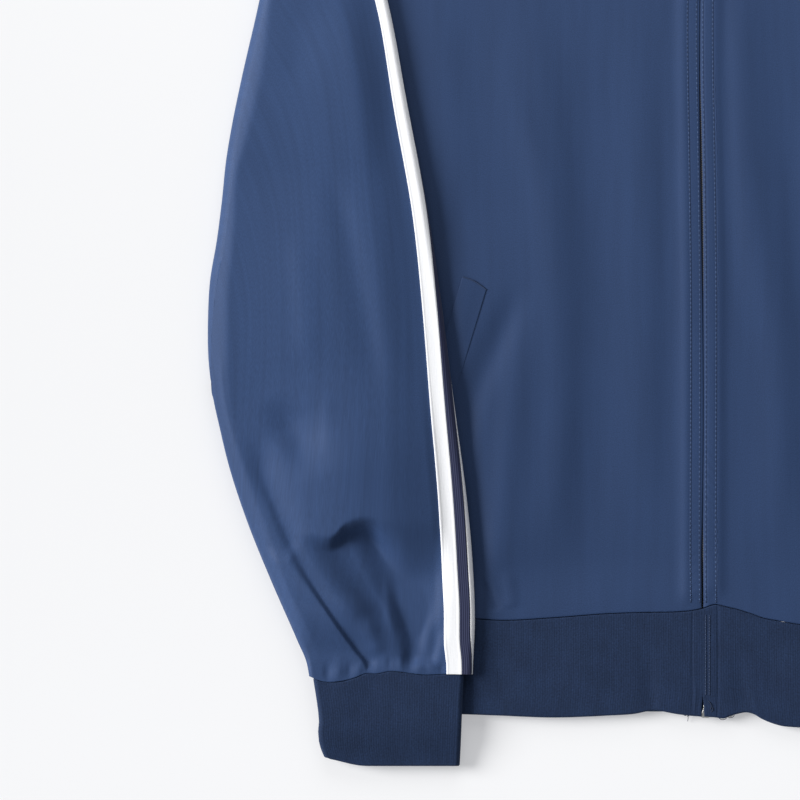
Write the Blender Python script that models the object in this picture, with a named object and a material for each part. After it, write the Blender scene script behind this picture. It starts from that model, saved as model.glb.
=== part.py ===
"""Track jacket, lying face up on a flat surface, zip closed, both sleeves folded over the fronts.

Frame: metres, origin on the surface under the middle of the jacket. X runs across it, with the
wearer's right at -X, Y runs from the hem to the collar, and Z points up. All sizes below are in
millimetres. "across" is the distance from the middle line, on either side, and "height" is the
distance above the hem's lower edge.
"""

import bpy
import numpy as np
from math import pi

MM = 0.001
HALF_HEIGHT = 326.0          # the hem's edge to the middle of the whole outline

# Cloth, and the levels at which it lies
TRICOT = 1.2                 # wall of the satin panels
RIB = 2.4                    # folded rib knit of the hem, cuffs and collar
SEAM = 0.3                   # clearance where pieces are sewn together
TAPE = 0.9                   # knit tape on the sleeves
BACK_TOP = TRICOT
FRONT_TOP = 4.6              # outer face of the fronts
RIB_TOP = 7.0                # outer face of the hem rib and collar in front
SEWN_TOP = RIB_TOP - (RIB - TRICOT) / 2     # satin where it is sewn to rib
PLACKET_TOP = 5.6            # the fronts where they cover the zip
SLEEVE_REST = 6.5            # a folded sleeve's underside, on the body
CUFF_REST = 7.4              # a cuff's underside, on the hem rib
FLOOR_REST = 0.6             # the same where a sleeve hangs past the body's side
FLAT_SLEEVE = 4.6            # thickness of the sleeve where it lies flat, under its fold
EDGE_SLEEVE = 9.0            # thickness of a folded sleeve at its inner edge
PUFFING = (30, 330)          # distances down the inner edge over which it grows thicker
SLEEVE_EDGE = 11.0           # level of a folded sleeve's upper face at its outer outline
RIM_SLOPE = 0.45             # how steeply that face climbs from the outline
SLEEVE_CROWN = 3.5           # how far it still climbs towards the middle
CROWN_REACH = 90             # and over which distance from the outline
THINNEST_SLEEVE = 3.6        # what the folds leave of a sleeve's thickness
CUFF_THICK = 6.0
CUFF_DROP = 4.6              # how far a cuff sinks past the hem rib's edge
TAPE_ROOM = TAPE + SEAM      # how far the flat sleeve is lifted by the tape under it

# Body outline
HEM_HALF = 238.0
BACK_SEAM = 57.0             # hem rib's seam at the back
BACK_HEM = 0.5
NECK = (85.0, 640.0)         # where the shoulder meets the collar (across, height)
FRONT_NECK = 568.0           # neckline at the middle, in front and behind
BACK_NECK = 620.0
NECK_POWER = 2.2
ARMPIT = (272.0, 330.0)
COLLAR_HIGH = 52.0           # in front, at the zip
COLLAR_SIDE = 44.0
COLLAR_BACK = 57.0

# side seam from the hem rib to the armpit: across, height
SIDE = [(238.5, 58), (246, 76), (256, 130), (266, 215), (272, 330)]
# bend of a raglan seam between the armpit and the neckline, as a Bezier's two inner points
RAGLAN = [(250, 420), (165, 530)]
FRONT_RAGLAN_END = 46.0      # across, on the neckline
BACK_RAGLAN_END = 41.0

# hem rib in front, across with the wearer's right negative: across, seam height, hem height
HEM = [(-240, 57, 0), (-143, 59, -1.2), (-95, 59.6, -3), (-60, 62.2, -1.8), (-31, 63.1, 1.4),
       (-16, 63.4, -0.8), (0, 65.5, -2.4), (12, 67.6, -3.2), (28, 63.3, 0.2), (62, 55.4, -9.3),
       (150, 53, -6), (240, 57, 0)]
# the zip's line: height, across
ZIP_LINE = [(0, 0.7), (78, 0.3), (292, 0.3), (355, -0.6), (418, -1.6), (500, -1.0), (640, 0)]
ZIP_SLOT = 1.2               # half the slot between the fronts
END_ROOM = 2.8               # how much wider it is at the zip's metal end
END_BLEND = (20, 6)          # heights over which it widens

# Sleeve (right one; the left one mirrors it): across, height
SHOULDER = [(85, 640), (140, 623), (195, 604), (232, 583)]
UNDERARM = [(272, 330), (283, 290), (294, 248)]
FOLD_EDGE = [(259, 566), (279, 449), (290.4, 399), (300, 348), (305.8, 298), (310, 273), (311.4, 247),
             (311, 222), (309.6, 208)]
INNER_EDGE = [(233, 538), (213, 500), (199, 449), (186.8, 386), (174.7, 323), (165.2, 260), (157.2, 197),
              (148.8, 134), (145.4, 96), (144, 60), (145.4, 26)]
OUTER_EDGE = [(308.8, 204), (307.7, 197), (304, 180), (299, 159), (287, 122), (271.6, 84), (254.8, 46),
              (249.2, 33), (247.4, 24)]
# radius of the fold's outer face: share of the way down the fold, radius
FOLD_RADIUS = [(0, 6.5), (0.2, 6.0), (0.8, 5.6), (1, 5.5)]
# width of the climbing rim beside the outer outline: height, width
RIM_WIDE = [(26, 2.5), (62, 6.5), (109, 11), (188, 10.5), (245, 14), (339, 9), (402, 13.5), (449, 8),
            (566, 8)]
# cuff seam: across, height
CUFF_SEAM = [(145, 24.5), (176.5, 24.4), (196, 26.6), (211, 25.3), (228, 20.2), (239, 20.2), (247, 23)]
CUFF_INNER = [(26, 150), (2, 151.2), (-20, 152), (-33, 152.6)]      # height, across
CUFF_OUTER = [(26, 245), (8, 242.5), (-4, 241.3), (-17, 241.8), (-26, 240.2), (-34, 237.5)]
CUFF_LOW = -33.5
CUFF_CORNER = 5.2            # how far the outer lower corner is rounded up

# Sleeve tape, measured round the sleeve from its inner edge
WIDE_BAND = 10.0
MIDDLE_BAND = 6.4
NARROW_BAND = 5.0
# where the wide band starts: height, distance from the edge
TAPE_START = [(26, 8.4), (46, 10.8), (96, 11.8), (134, 11.1), (197, 8.3), (260, 5.2), (323, 1.9),
              (386, 0.55), (449, -1.3), (566, 0.3)]

# Soft troughs (rise < 0) and ridges in a sleeve's upper face:
# across and height of both ends, rise, half width
SLEEVE_FOLDS = [
    (220, 132, 220, 134, 6.0, 33),
    (268, 190, 248, 152, -3.4, 10),
    (277, 182, 261, 113, -1.8, 8),
    (261, 113, 213, 33, -2.6, 5),
    (232, 108, 229, 76, -4.5, 9),
    (207, 114, 204, 68, -8.5, 12),
    (185, 70, 181, 34, -3.6, 7),
    (168, 56, 171, 34, -2.2, 5),
    (237, 347, 206, 213, -1.3, 10),
    (256, 310, 248, 213, 0.8, 9),
]
# the same in the fronts, right first
FRONT_FOLDS = {
    -1: [(98, 520, 92, 250, 1.3, 22), (92, 250, 106, 110, 1.2, 18), (52, 470, 50, 120, -0.7, 22)],
    1: [(36, 520, 44, 300, 1.0, 16), (44, 300, 52, 120, 0.9, 16), (84, 470, 88, 160, -0.8, 20),
        (126, 480, 132, 200, 0.8, 20)],
}
# heights over which a front's folds fade in, and it climbs to the hem rib; distances from the
# neckline over which it climbs to the collar
FOLD_BLEND = (84, 130)
RIB_BLEND = (100, 66)
NECK_BLEND = (34, 4)
# gathers where a sleeve is sewn to its cuff: share across, rise, half width, length
GATHERS = [(0.10, -1.6, 5, 26), (0.21, 1.2, 5, 22), (0.31, -1.8, 5, 30), (0.43, 1.4, 6, 26),
           (0.55, -1.6, 5, 34), (0.66, 1.3, 6, 22), (0.80, -1.5, 6, 26), (0.91, 1.0, 5, 20)]

# Pocket welt: its upper end's corners (across, height), slant and size
WELT_INNER = (136.0, 266.5)
WELT_OUTER = (151.0, 274.7)
WELT_DOWN = (0.2875, -0.958)
WELT_LONG = 150.0
WELT_THICK = 1.0

# Zip
CHAIN_LEVEL = 2.75           # underside of the zip's tapes
CHAIN_RISE = 0.85            # how much higher they lie inside the slider
ZIP_TAPE = 0.6
COIL_HIGH = 0.8
COIL_HALF = 2.2
ZIP_HALF = 13.0
CHAIN_ENDS = (8.0, 610.0)    # heights
COLLAR_PARTS = (578.0, 594.0)    # heights where the collar's edges part for the slider
SLIDER_ROOM = 5.3
SLIDER_AT = 612.0
SLIDER_SIZE = (8.6, 11.0)
PIVOT_HIGH = 8.0
TAB_LONG = 24.0
TAB_WIDE = 6.4
TAB_THICK = 1.1

NAVY = (0.045, 0.085, 0.19)
NAVY_RIB = (0.022, 0.042, 0.095)
NAVY_TAPE = (0.035, 0.042, 0.09)
WHITE = (0.85, 0.86, 0.88)
METAL = (0.62, 0.62, 0.64)


# ---------------------------------------------------------------- curves and steps

def smooth_step(low, high, value):
    """0 at low and 1 at high, with level ends."""
    t = np.clip((np.asarray(value, float) - low) / (high - low), 0, 1)
    return t * t * (3 - 2 * t)


def mix(first, second, share):
    return first + (second - first) * share


def curve(rows, at):
    """Smooth curve through a table: its first column at the places given, the others returned."""
    table = np.array(rows, float)
    table = table[np.argsort(table[:, 0])]
    place, value = table[:, 0], table[:, 1:]
    slope = np.gradient(value, place, axis=0)
    at = np.clip(np.asarray(at, float), place[0], place[-1])
    k = np.clip(np.searchsorted(place, at, side="right") - 1, 0, len(place) - 2)
    step = (place[k + 1] - place[k])[..., None]
    t = (at - place[k])[..., None] / step
    found = ((2 * t**3 - 3 * t**2 + 1) * value[k] + (t**3 - 2 * t**2 + t) * step * slope[k]
             + (3 * t**2 - 2 * t**3) * value[k + 1] + (t**3 - t**2) * step * slope[k + 1])
    return found[..., 0] if found.shape[-1] == 1 else found


def route(points, share):
    """Point at a share of the way along a smooth line through points in the plane."""
    points = np.array(points, float)
    along = np.concatenate([[0], np.cumsum(np.linalg.norm(np.diff(points, axis=0), axis=1))])
    return curve(np.column_stack([along / along[-1], points]), share)


def unit(vectors):
    return vectors / np.linalg.norm(vectors, axis=-1, keepdims=True)


def line_length(points):
    return float(np.linalg.norm(np.diff(np.array(points, float), axis=0), axis=1).sum())


def relief(folds, across, height):
    """Height that soft troughs and ridges add; each is a row of a fold table."""
    total = np.zeros(np.shape(across))
    for a0, h0, a1, h1, rise, half in folds:
        run = np.array([a1 - a0, h1 - h0], float)
        length = np.hypot(*run)
        along = ((across - a0) * run[0] + (height - h0) * run[1]) / length
        aside = ((across - a0) * run[1] - (height - h0) * run[0]) / length
        past = np.maximum(np.maximum(-along, along - length), 0)
        total = total + rise * np.exp(-(aside**2 + 0.6 * past**2) / half**2)
    return total


def distance_to(points, plan):
    """Distance of each place from a line through points."""
    nearest = np.full(len(plan), np.inf)
    for start, end in zip(np.array(points[:-1], float), np.array(points[1:], float)):
        run = end - start
        share = np.clip((plan - start) @ run / (run @ run), 0, 1)
        nearest = np.minimum(nearest, np.linalg.norm(plan - start - share[:, None] * run, axis=1))
    return nearest


def zip_across(height):
    return curve(ZIP_LINE, height)


def front_neckline(across):
    return FRONT_NECK + (NECK[1] - FRONT_NECK) * (np.abs(across) / NECK[0]) ** NECK_POWER


def back_neckline(across):
    return BACK_NECK + (NECK[1] - BACK_NECK) * (np.abs(across) / NECK[0]) ** NECK_POWER


def hem_seam(x):
    return curve(HEM, x)[..., 0]


def hem_edge(x):
    return curve(HEM, x)[..., 1]


def raglan(share, front):
    """Raglan seam from the neckline (0) to the armpit (1), as across and height."""
    end = FRONT_RAGLAN_END if front else BACK_RAGLAN_END
    top = (end, float(front_neckline(end) if front else back_neckline(end)))
    corners = np.array([top, RAGLAN[1], RAGLAN[0], ARMPIT])
    t = np.asarray(share, float)[..., None]
    return ((1 - t)**3 * corners[0] + 3 * t * (1 - t)**2 * corners[1]
            + 3 * t**2 * (1 - t) * corners[2] + t**3 * corners[3])


# ---------------------------------------------------------------- making objects

def material(name, colour, rough, metal=0.0):
    found = bpy.data.materials.get(name)
    if found:
        return found
    made = bpy.data.materials.new(name)
    made.use_nodes = True
    shader = made.node_tree.nodes["Principled BSDF"]
    shader.inputs["Base Color"].default_value = (*colour, 1)
    shader.inputs["Roughness"].default_value = rough
    shader.inputs["Metallic"].default_value = metal
    return made


def place(points):
    """Across (signed), height and level in millimetres to world metres."""
    return (np.array(points, float) - (0, HALF_HEIGHT, 0)) * MM


def new_object(name, corners, faces, finish):
    mesh = bpy.data.meshes.new(name)
    mesh.from_pydata([tuple(c) for c in corners], [], faces)
    mesh.materials.append(finish)
    mesh.shade_smooth()
    made = bpy.data.objects.new(name, mesh)
    bpy.context.collection.objects.link(made)
    return made


def face_normals(grid, closed=False):
    """Unit normals of a grid of points, from its rows and columns."""
    if closed:
        wide = np.concatenate([grid[:, -1:], grid, grid[:, :1]], axis=1)
        across = wide[:, 2:] - wide[:, :-2]
    else:
        across = np.gradient(grid, axis=1)
    normal = np.cross(np.gradient(grid, axis=0), across)
    return unit(normal)


def cloth(name, grid, wall, finish, closed=False, up_at=(0, 0), outward=-1):
    """Wall of cloth on a grid of points. The face at up_at looks up; the wall goes in, or out."""
    rows, columns = grid.shape[:2]
    last = columns if closed else columns - 1
    faces = [(i * columns + j, i * columns + (j + 1) % columns,
              (i + 1) * columns + (j + 1) % columns, (i + 1) * columns + j)
             for i in range(rows - 1) for j in range(last)]
    if face_normals(grid, closed)[up_at][2] > 0:
        faces = [f[::-1] for f in faces]
    made = new_object(name, place(grid.reshape(-1, 3)), faces, finish)
    solid = made.modifiers.new("wall", "SOLIDIFY")
    solid.thickness = wall * MM
    solid.offset = outward
    return made


def word(side):
    return "right" if side < 0 else "left"


def mirrored(grid, side):
    return grid * (side, 1, 1)


# ---------------------------------------------------------------- body

def placket_lift(x, height):
    """How far the fronts rise over the zip."""
    off = np.abs(x - zip_across(height))
    return (PLACKET_TOP - FRONT_TOP) * smooth_step(22, 8, off)


def front_level(x, height, side):
    """Outer face of a front, which meets the rib, the collar and the sleeve at their levels."""
    level = FRONT_TOP + relief(FRONT_FOLDS[side], np.abs(x), height) * smooth_step(*FOLD_BLEND, height)
    level = level + placket_lift(x, height)
    level = mix(level, SEWN_TOP, smooth_step(*RIB_BLEND, height))
    return mix(level, SEWN_TOP, smooth_step(*NECK_BLEND, front_neckline(np.abs(x)) - height))


def panel(left, right, bottom, top, shares, rises):
    """Patch between four edges: points at shares across, a row for each entry of rises."""
    rows = []
    for k, rise in enumerate(rises):
        chord = mix(left[k], right[k], shares[:, None])
        low = bottom - mix(left[0], right[0], shares[:, None])
        high = top - mix(left[-1], right[-1], shares[:, None])
        rows.append(chord + (1 - rise) * low + rise * high)
    return np.array(rows)


def outer_line(front, side_shares, raglan_shares, inset):
    """Side seam from the rib to the armpit, then the raglan seam up to the neckline."""
    low = route(SIDE, side_shares) - (inset, 0)
    high = raglan(raglan_shares, front)
    ahead = raglan(np.clip(raglan_shares + 0.01, 0, 1), front)
    behind = raglan(np.clip(raglan_shares - 0.01, 0, 1), front)
    along = ahead - behind
    normal = np.column_stack([along[:, 1], -along[:, 0]])
    return np.vstack([low, high + inset * unit(normal)])


SIDE_SHARES = np.array([0, 0.045, 0.13, 0.28, 0.45, 0.63, 0.82])
RAGLAN_SHARES = np.linspace(1, 0, 7)
# share of a panel's rows that lie below the armpit
FRONT_ARMPIT = 0.52
BACK_ARMPIT = 0.47
# columns of a front and of the rib below it
FRONT_SHARES = np.array([0, 0.035, 0.09, 0.18, 0.29, 0.41, 0.53, 0.65, 0.77, 0.88, 0.975, 1])


def make_front(side):
    """One front, from the zip to the side and raglan seams."""
    shares = FRONT_SHARES
    right = outer_line(True, SIDE_SHARES, RAGLAN_SHARES, SEAM)
    rises = np.concatenate([SIDE_SHARES * FRONT_ARMPIT, mix(FRONT_ARMPIT, 1, 1 - RAGLAN_SHARES)])
    low = float(hem_seam(0)) + SEAM
    heights = mix(low, FRONT_NECK - 2 * SEAM, rises)
    left = np.column_stack([ZIP_SLOT + side * zip_across(heights), heights])
    along = mix(left[0][0], HEM_HALF - RIB_TOP / 2, shares)
    along[-1] = right[0][0]
    bottom = np.column_stack([along, hem_seam(side * along) + 2 * SEAM])
    right[0] = bottom[-1]
    left[0] = bottom[0]
    neck = mix(left[-1][0], right[-1][0], shares)
    top = np.column_stack([neck, front_neckline(neck) - 2 * SEAM])
    right[-1] = top[-1]
    plan = panel(left, right, bottom, top, shares, rises)
    across, height = plan[..., 0], plan[..., 1]
    level = front_level(side * across, height, side)
    edge = smooth_step(0.93, 1, shares)[None, :] * smooth_step(325, 300, height)
    level = mix(level, BACK_TOP + 2 * SEAM + TRICOT, edge * smooth_step(70, 90, height))
    grid = np.dstack([across, height, level])
    cloth(f"front_{word(side)}", mirrored(grid, side), TRICOT,
          material("satin", NAVY, 0.42), up_at=(3, 3))


def make_back():
    """The back, flat on the surface."""
    shares = np.linspace(0, 1, 13)
    up_seam = np.linspace(0, 1, 10)
    right = outer_line(False, SIDE_SHARES[::2], 1 - up_seam, SEAM)
    rises = np.concatenate([SIDE_SHARES[::2] * BACK_ARMPIT, mix(BACK_ARMPIT, 1, up_seam)])
    right[0] = (HEM_HALF, BACK_SEAM + SEAM)
    left = right * (-1, 1)
    bottom = np.column_stack([mix(-HEM_HALF, HEM_HALF, shares), np.full(len(shares), BACK_SEAM + SEAM)])
    neck = mix(left[-1][0], right[-1][0], shares)
    top = np.column_stack([neck, back_neckline(neck) - 2 * SEAM])
    right[-1] = top[-1]
    left[-1] = top[0]
    plan = panel(left, right, bottom, top, shares, rises)
    grid = np.dstack([plan[..., 0], plan[..., 1], np.full(plan.shape[:2], BACK_TOP)])
    cloth("back", grid, TRICOT, material("satin_back", NAVY, 0.42), up_at=(3, 3))


def band(half, shares):
    """Columns of a flattened band open in front: place across, level as a share, in front or not."""
    columns = []
    flat = half * shares
    turn = np.linspace(pi / 2, -pi / 2, 5)[1:-1]
    for side in (-1, 1):
        front = [(side * a, 1.0, 1.0) for a in flat]
        arc = [(side * (half + RIB_TOP / 2 * np.cos(t)), 0.5 + 0.5 * np.sin(t), 0.5 + 0.5 * np.sin(t))
               for t in turn]
        columns.append(front + arc)
    back = [(x, 0.0, 0.0) for x in np.linspace(-half, half, 2 * len(shares) - 5)]
    return np.array(columns[0] + back + columns[1][::-1])


def make_hem_rib():
    """Rib band round the lower edge, open at the zip."""
    columns = band(HEM_HALF - RIB_TOP / 2, FRONT_SHARES)
    x, level, front = columns.T
    sign = np.where(np.arange(len(x)) < len(x) / 2, -1, 1)
    rows = []
    for share in (0, 0.35, 0.7, 0.86, 1):
        at_zip = mix(float(hem_seam(0)), float(hem_edge(0)), share)
        slot = ZIP_SLOT + END_ROOM * smooth_step(*END_BLEND, at_zip)
        pull = 1 - np.abs(x) / (HEM_HALF - RIB_TOP / 2)
        across = np.where(front == 1, x + (zip_across(at_zip) + sign * slot) * pull, x)
        in_front = mix(hem_seam(across), hem_edge(across), share)
        height = mix(mix(BACK_SEAM, BACK_HEM, share), in_front, front)
        rows.append(np.column_stack([across, height, level * RIB_TOP]))
    cloth("hem_rib", np.array(rows), RIB, material("rib", NAVY_RIB, 0.8), up_at=(1, 4))


def make_collar():
    """Stand collar of rib, pressed flat, its front edges parting for the slider."""
    half = NECK[0] + 1.0 - RIB_TOP / 2
    columns = band(half, np.linspace(0, 1, 8))
    x, level, front = columns.T
    sign = np.where(np.arange(len(x)) < len(x) / 2, -1, 1)
    near = np.minimum(np.abs(x), NECK[0])
    rows = []
    for share in (0, 0.25, 0.5, 0.75, 1):
        high = mix(COLLAR_SIDE, mix(COLLAR_BACK, COLLAR_HIGH, front), smooth_step(NECK[0], 20, near))
        height = mix(back_neckline(near), front_neckline(near), front) + 3 * SEAM + high * share
        slot = ZIP_SLOT + (SLIDER_ROOM - ZIP_SLOT) * smooth_step(*COLLAR_PARTS, height)
        pull = 1 - np.clip(np.abs(x) / 45, 0, 1)
        across = np.where(front == 1, x + (zip_across(height) + sign * slot) * pull, x)
        rows.append(np.column_stack([across * (1 - 0.05 * share), height, level * RIB_TOP]))
    cloth("collar", np.array(rows), RIB, material("rib_collar", NAVY_RIB, 0.8), up_at=(1, 4))


def make_welt(side):
    """Slanted pocket welt, laid on the front."""
    inner, outer, down = np.array(WELT_INNER), np.array(WELT_OUTER), np.array(WELT_DOWN)
    rows = []
    for share in np.linspace(0, 1, 7):
        start = inner + down * WELT_LONG * share
        wide = outer - inner
        rows.append([(*(start + wide * t), 0) for t in (0, 0.5, 1)])
    grid = np.array(rows)
    grid[..., 2] = front_level(side * grid[..., 0], grid[..., 1], side) + SEAM
    cloth(f"welt_{word(side)}", mirrored(grid, side), WELT_THICK,
          material("satin_welt", NAVY, 0.42), up_at=(1, 1), outward=1)


# ---------------------------------------------------------------- sleeves

def fold_line(share):
    """The fold's outermost line, the outward direction there, its radius and its hinge."""
    edge = route(FOLD_EDGE, share)
    step = route(FOLD_EDGE, np.clip(share + 0.01, 0, 1)) - route(FOLD_EDGE, np.clip(share - 0.01, 0, 1))
    out = unit(np.column_stack([-step[:, 1], step[:, 0]]))
    radius = curve(FOLD_RADIUS, share)
    return edge - out * radius[:, None], out, radius


HINGE_TOP, HINGE_LOW = fold_line(np.array([0.0, 1.0]))[0]
SHOULDER_LINE = [*SHOULDER, tuple(HINGE_TOP)]
UNDERARM_LINE = [*UNDERARM, tuple(HINGE_LOW)]
INNER_LINE = [tuple(HINGE_TOP), *INNER_EDGE]
OUTER_LINE = [tuple(HINGE_LOW), *OUTER_EDGE]
FOLD_LENGTH = line_length(FOLD_EDGE)
INNER_LENGTH = line_length(INNER_LINE)
OUTER_LENGTH = line_length(OUTER_LINE)
PLUMPING = (8, 60)           # distances from the inner edge over which a folded sleeve fills out
NECK_SHARE = 0.1             # share of the sleeve's own columns that lie along the neckline
RAGLAN_LENGTH = 388.0        # neckline stretch and raglan seam together
# how far out the body carries a folded sleeve: height, across
SUPPORT = [(-60, 238), (62, 240), (150, 262), (190, 280), (215, 306), (240, 330), (700, 330)]


def rest_level(across, height):
    """Level that a folded sleeve's underside rests at."""
    body = mix(SLEEVE_REST, CUFF_REST, smooth_step(95, 66, height))
    return mix(body, FLOOR_REST, smooth_step(3, 26, across - curve(SUPPORT, height)))


def flat_thickness(across, height):
    """Thickness of the sleeve under the fold: thicker where it meets the collar."""
    near = np.hypot(across - NECK[0], height - NECK[1])
    return mix(FLAT_SLEEVE, RIB_TOP - (RIB - TRICOT) / 2, smooth_step(95, 20, near))


def sleeve_columns(width, start, inner, outer, steps, slant=1.0):
    """Places round a sleeve: distance from the inner edge, and depth from its outer layer (0 to 1).

    start is where the tape's wide band begins, and inner and outer are the edges' radii. The
    columns run over the tape, the outer layer, the underarm edge and back through the inner layer.
    slant is how much longer the way along the ring is than the way square to the inner edge.
    """
    tape, flats, turns, unders = steps
    quarter = pi / 2 * inner
    far = quarter + (width - outer) / slant - inner
    outer_run = start + WIDE_BAND + (far - start - WIDE_BAND) * flats[1:]
    low = start - MIDDLE_BAND - NARROW_BAND
    under_run = low - (low + far) * unders
    around = np.concatenate([start + tape, outer_run])
    turn = np.linspace(pi / 2, -pi / 2, turns + 1)[1:-1]
    arc = np.column_stack([width - outer * (1 - np.cos(turn)), 0.5 - 0.5 * np.sin(turn)])
    sides = from_edge(around, inner) * (slant, 1), from_edge(under_run[::-1], inner)[:-1] * (slant, 1)
    return np.vstack([sides[0], arc, sides[1]])


def from_edge(around, radius):
    """Distance round the inner edge to a place: distance from the edge, and depth (0 to 1)."""
    quarter = pi / 2 * radius
    angle = np.clip(around / radius, -pi / 2, pi / 2)
    away = np.where(np.abs(around) < quarter, radius * (1 - np.cos(angle)), radius + np.abs(around) - quarter)
    return np.column_stack([away, 0.5 - 0.5 * np.sin(angle)])


def rim_rise(aside, height):
    """How far the upper face has climbed at a distance from the sleeve's outer outline."""
    wide = curve(RIM_WIDE, height)
    t = np.clip(aside / wide, 0, 1)
    return RIM_SLOPE * wide * (t - t**5 / 5) + SLEEVE_CROWN * smooth_step(0, CROWN_REACH, aside)


def neck_line(share, corner, front):
    """Sleeve's upper end: along the neckline as far as the corner share, then the raglan seam."""
    end = FRONT_RAGLAN_END if front else BACK_RAGLAN_END
    neckline = front_neckline if front else back_neckline
    across = mix(NECK[0], end, np.clip(share / corner, 0, 1))
    on_neck = np.column_stack([across, neckline(across)])
    on_seam = raglan(np.clip((share - corner) / (1 - corner), 0, 1), front)
    return np.where((share < corner)[:, None], on_neck, on_seam)


def patch(u, c, start, end, top, low):
    """Coons patch: start and end at the shares c, and the points of its two sides at u and their ends."""
    c = c[:, None]
    at_top, top0, top1 = top
    at_low, low0, low1 = low
    return (mix(start, end, u) + (1 - c) * (at_top - mix(top0, top1, u))
            + c * (at_low - mix(low0, low1, u)))


def tape_room(at):
    """How far the sleeve's outer layer is lifted where the tape lies between it and the surface."""
    return TAPE_ROOM * (1 - at[:, 1]) * smooth_step(WIDE_BAND + 24, WIDE_BAND + 2, at[:, 0])


def slant_between(start, aside, ahead):
    """How slantwise the way from start to aside crosses the way from start to ahead."""
    first, second = unit(aside - start), unit(ahead - start)
    return 1 / abs(float(first[0] * second[1] - first[1] * second[0]))


def flat_part(u, steps):
    """Ring of the sleeve between the raglan seam (0) and the fold (1), lying on the surface."""
    one = np.array([u])
    top, low = route(SHOULDER_LINE, one)[0], route(UNDERARM_LINE, one)[0]
    width = mix(RAGLAN_LENGTH, FOLD_LENGTH, u)
    radius = float(flat_thickness(*top)) / 2
    slant = slant_between(top, low, route(SHOULDER_LINE, one + 0.01 if u < 0.9 else one - 0.01)[0])
    at = sleeve_columns(width, 0.5, radius, FLAT_SLEEVE / 2, steps, mix(slant, 1, smooth_step(0.7, 1, u)))
    share, depth = at[:, 0] / width, at[:, 1]
    tape, flats, turns, unders = steps
    corners = sleeve_columns(RAGLAN_LENGTH, 0.5, float(flat_thickness(*NECK)) / 2, FLAT_SLEEVE / 2, steps)
    back_corner = corners[len(tape) - 1 + list(flats).index(NECK_SHARE), 0] / RAGLAN_LENGTH
    front_corner = corners[-list(unders).index(NECK_SHARE), 0] / RAGLAN_LENGTH
    hinge = fold_line(share)[0]
    plans = []
    for corner, front in ((back_corner, False), (front_corner, True)):
        begin = neck_line(share, corner, front)
        plans.append(patch(u, share, begin, hinge, (top, NECK, HINGE_TOP), (low, ARMPIT, HINGE_LOW)))
    plan = np.where(depth[:, None] < 0.5, plans[0], plans[1])
    level = depth * flat_thickness(plan[:, 0], plan[:, 1]) + tape_room(at)
    return np.column_stack([plan, level])


def bent_part(angle, steps):
    """Ring of the sleeve on the fold, at an angle from 0 to half a turn."""
    at = sleeve_columns(FOLD_LENGTH, 0.5, FLAT_SLEEVE / 2, FLAT_SLEEVE / 2, steps)
    hinge, out, radius = fold_line(at[:, 0] / FOLD_LENGTH)
    reach = radius - at[:, 1] * FLAT_SLEEVE - tape_room(at) * smooth_step(pi / 2, 0, angle)
    plan = hinge + out * (reach * np.sin(angle))[:, None]
    over = smooth_step(*PLUMPING, at[:, 0]) * (1 - at[:, 1]) * (angle > pi / 2)
    rise = rim_rise(radius * (1 - np.sin(angle)), plan[:, 1]) * over
    return np.column_stack([plan, radius - reach * np.cos(angle) + rise])


def gathers(share, seam_distance, width):
    """Rise of the gathers next to the cuff seam."""
    total = np.zeros(len(share))
    for at, rise, half, length in GATHERS:
        fade = smooth_step(length, 4, seam_distance)
        total = total + rise * fade * np.exp(-((share - at) * width / half) ** 2)
    return total


def upper_plan(u, share):
    """Across and height of the folded part, a share of the way from the fold (0) to the seam (1)."""
    one = np.array([u])
    top, low = route(INNER_LINE, one)[0], route(OUTER_LINE, one)[0]
    seam = np.array([INNER_EDGE[-1], OUTER_EDGE[-1]], float)
    end = mix(seam[0], seam[1], share[:, None])
    end[:, 1] = curve(CUFF_SEAM, end[:, 0])
    return patch(u, share, fold_line(share)[0], end, (top, HINGE_TOP, seam[0]), (low, HINGE_LOW, seam[1]))


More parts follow.
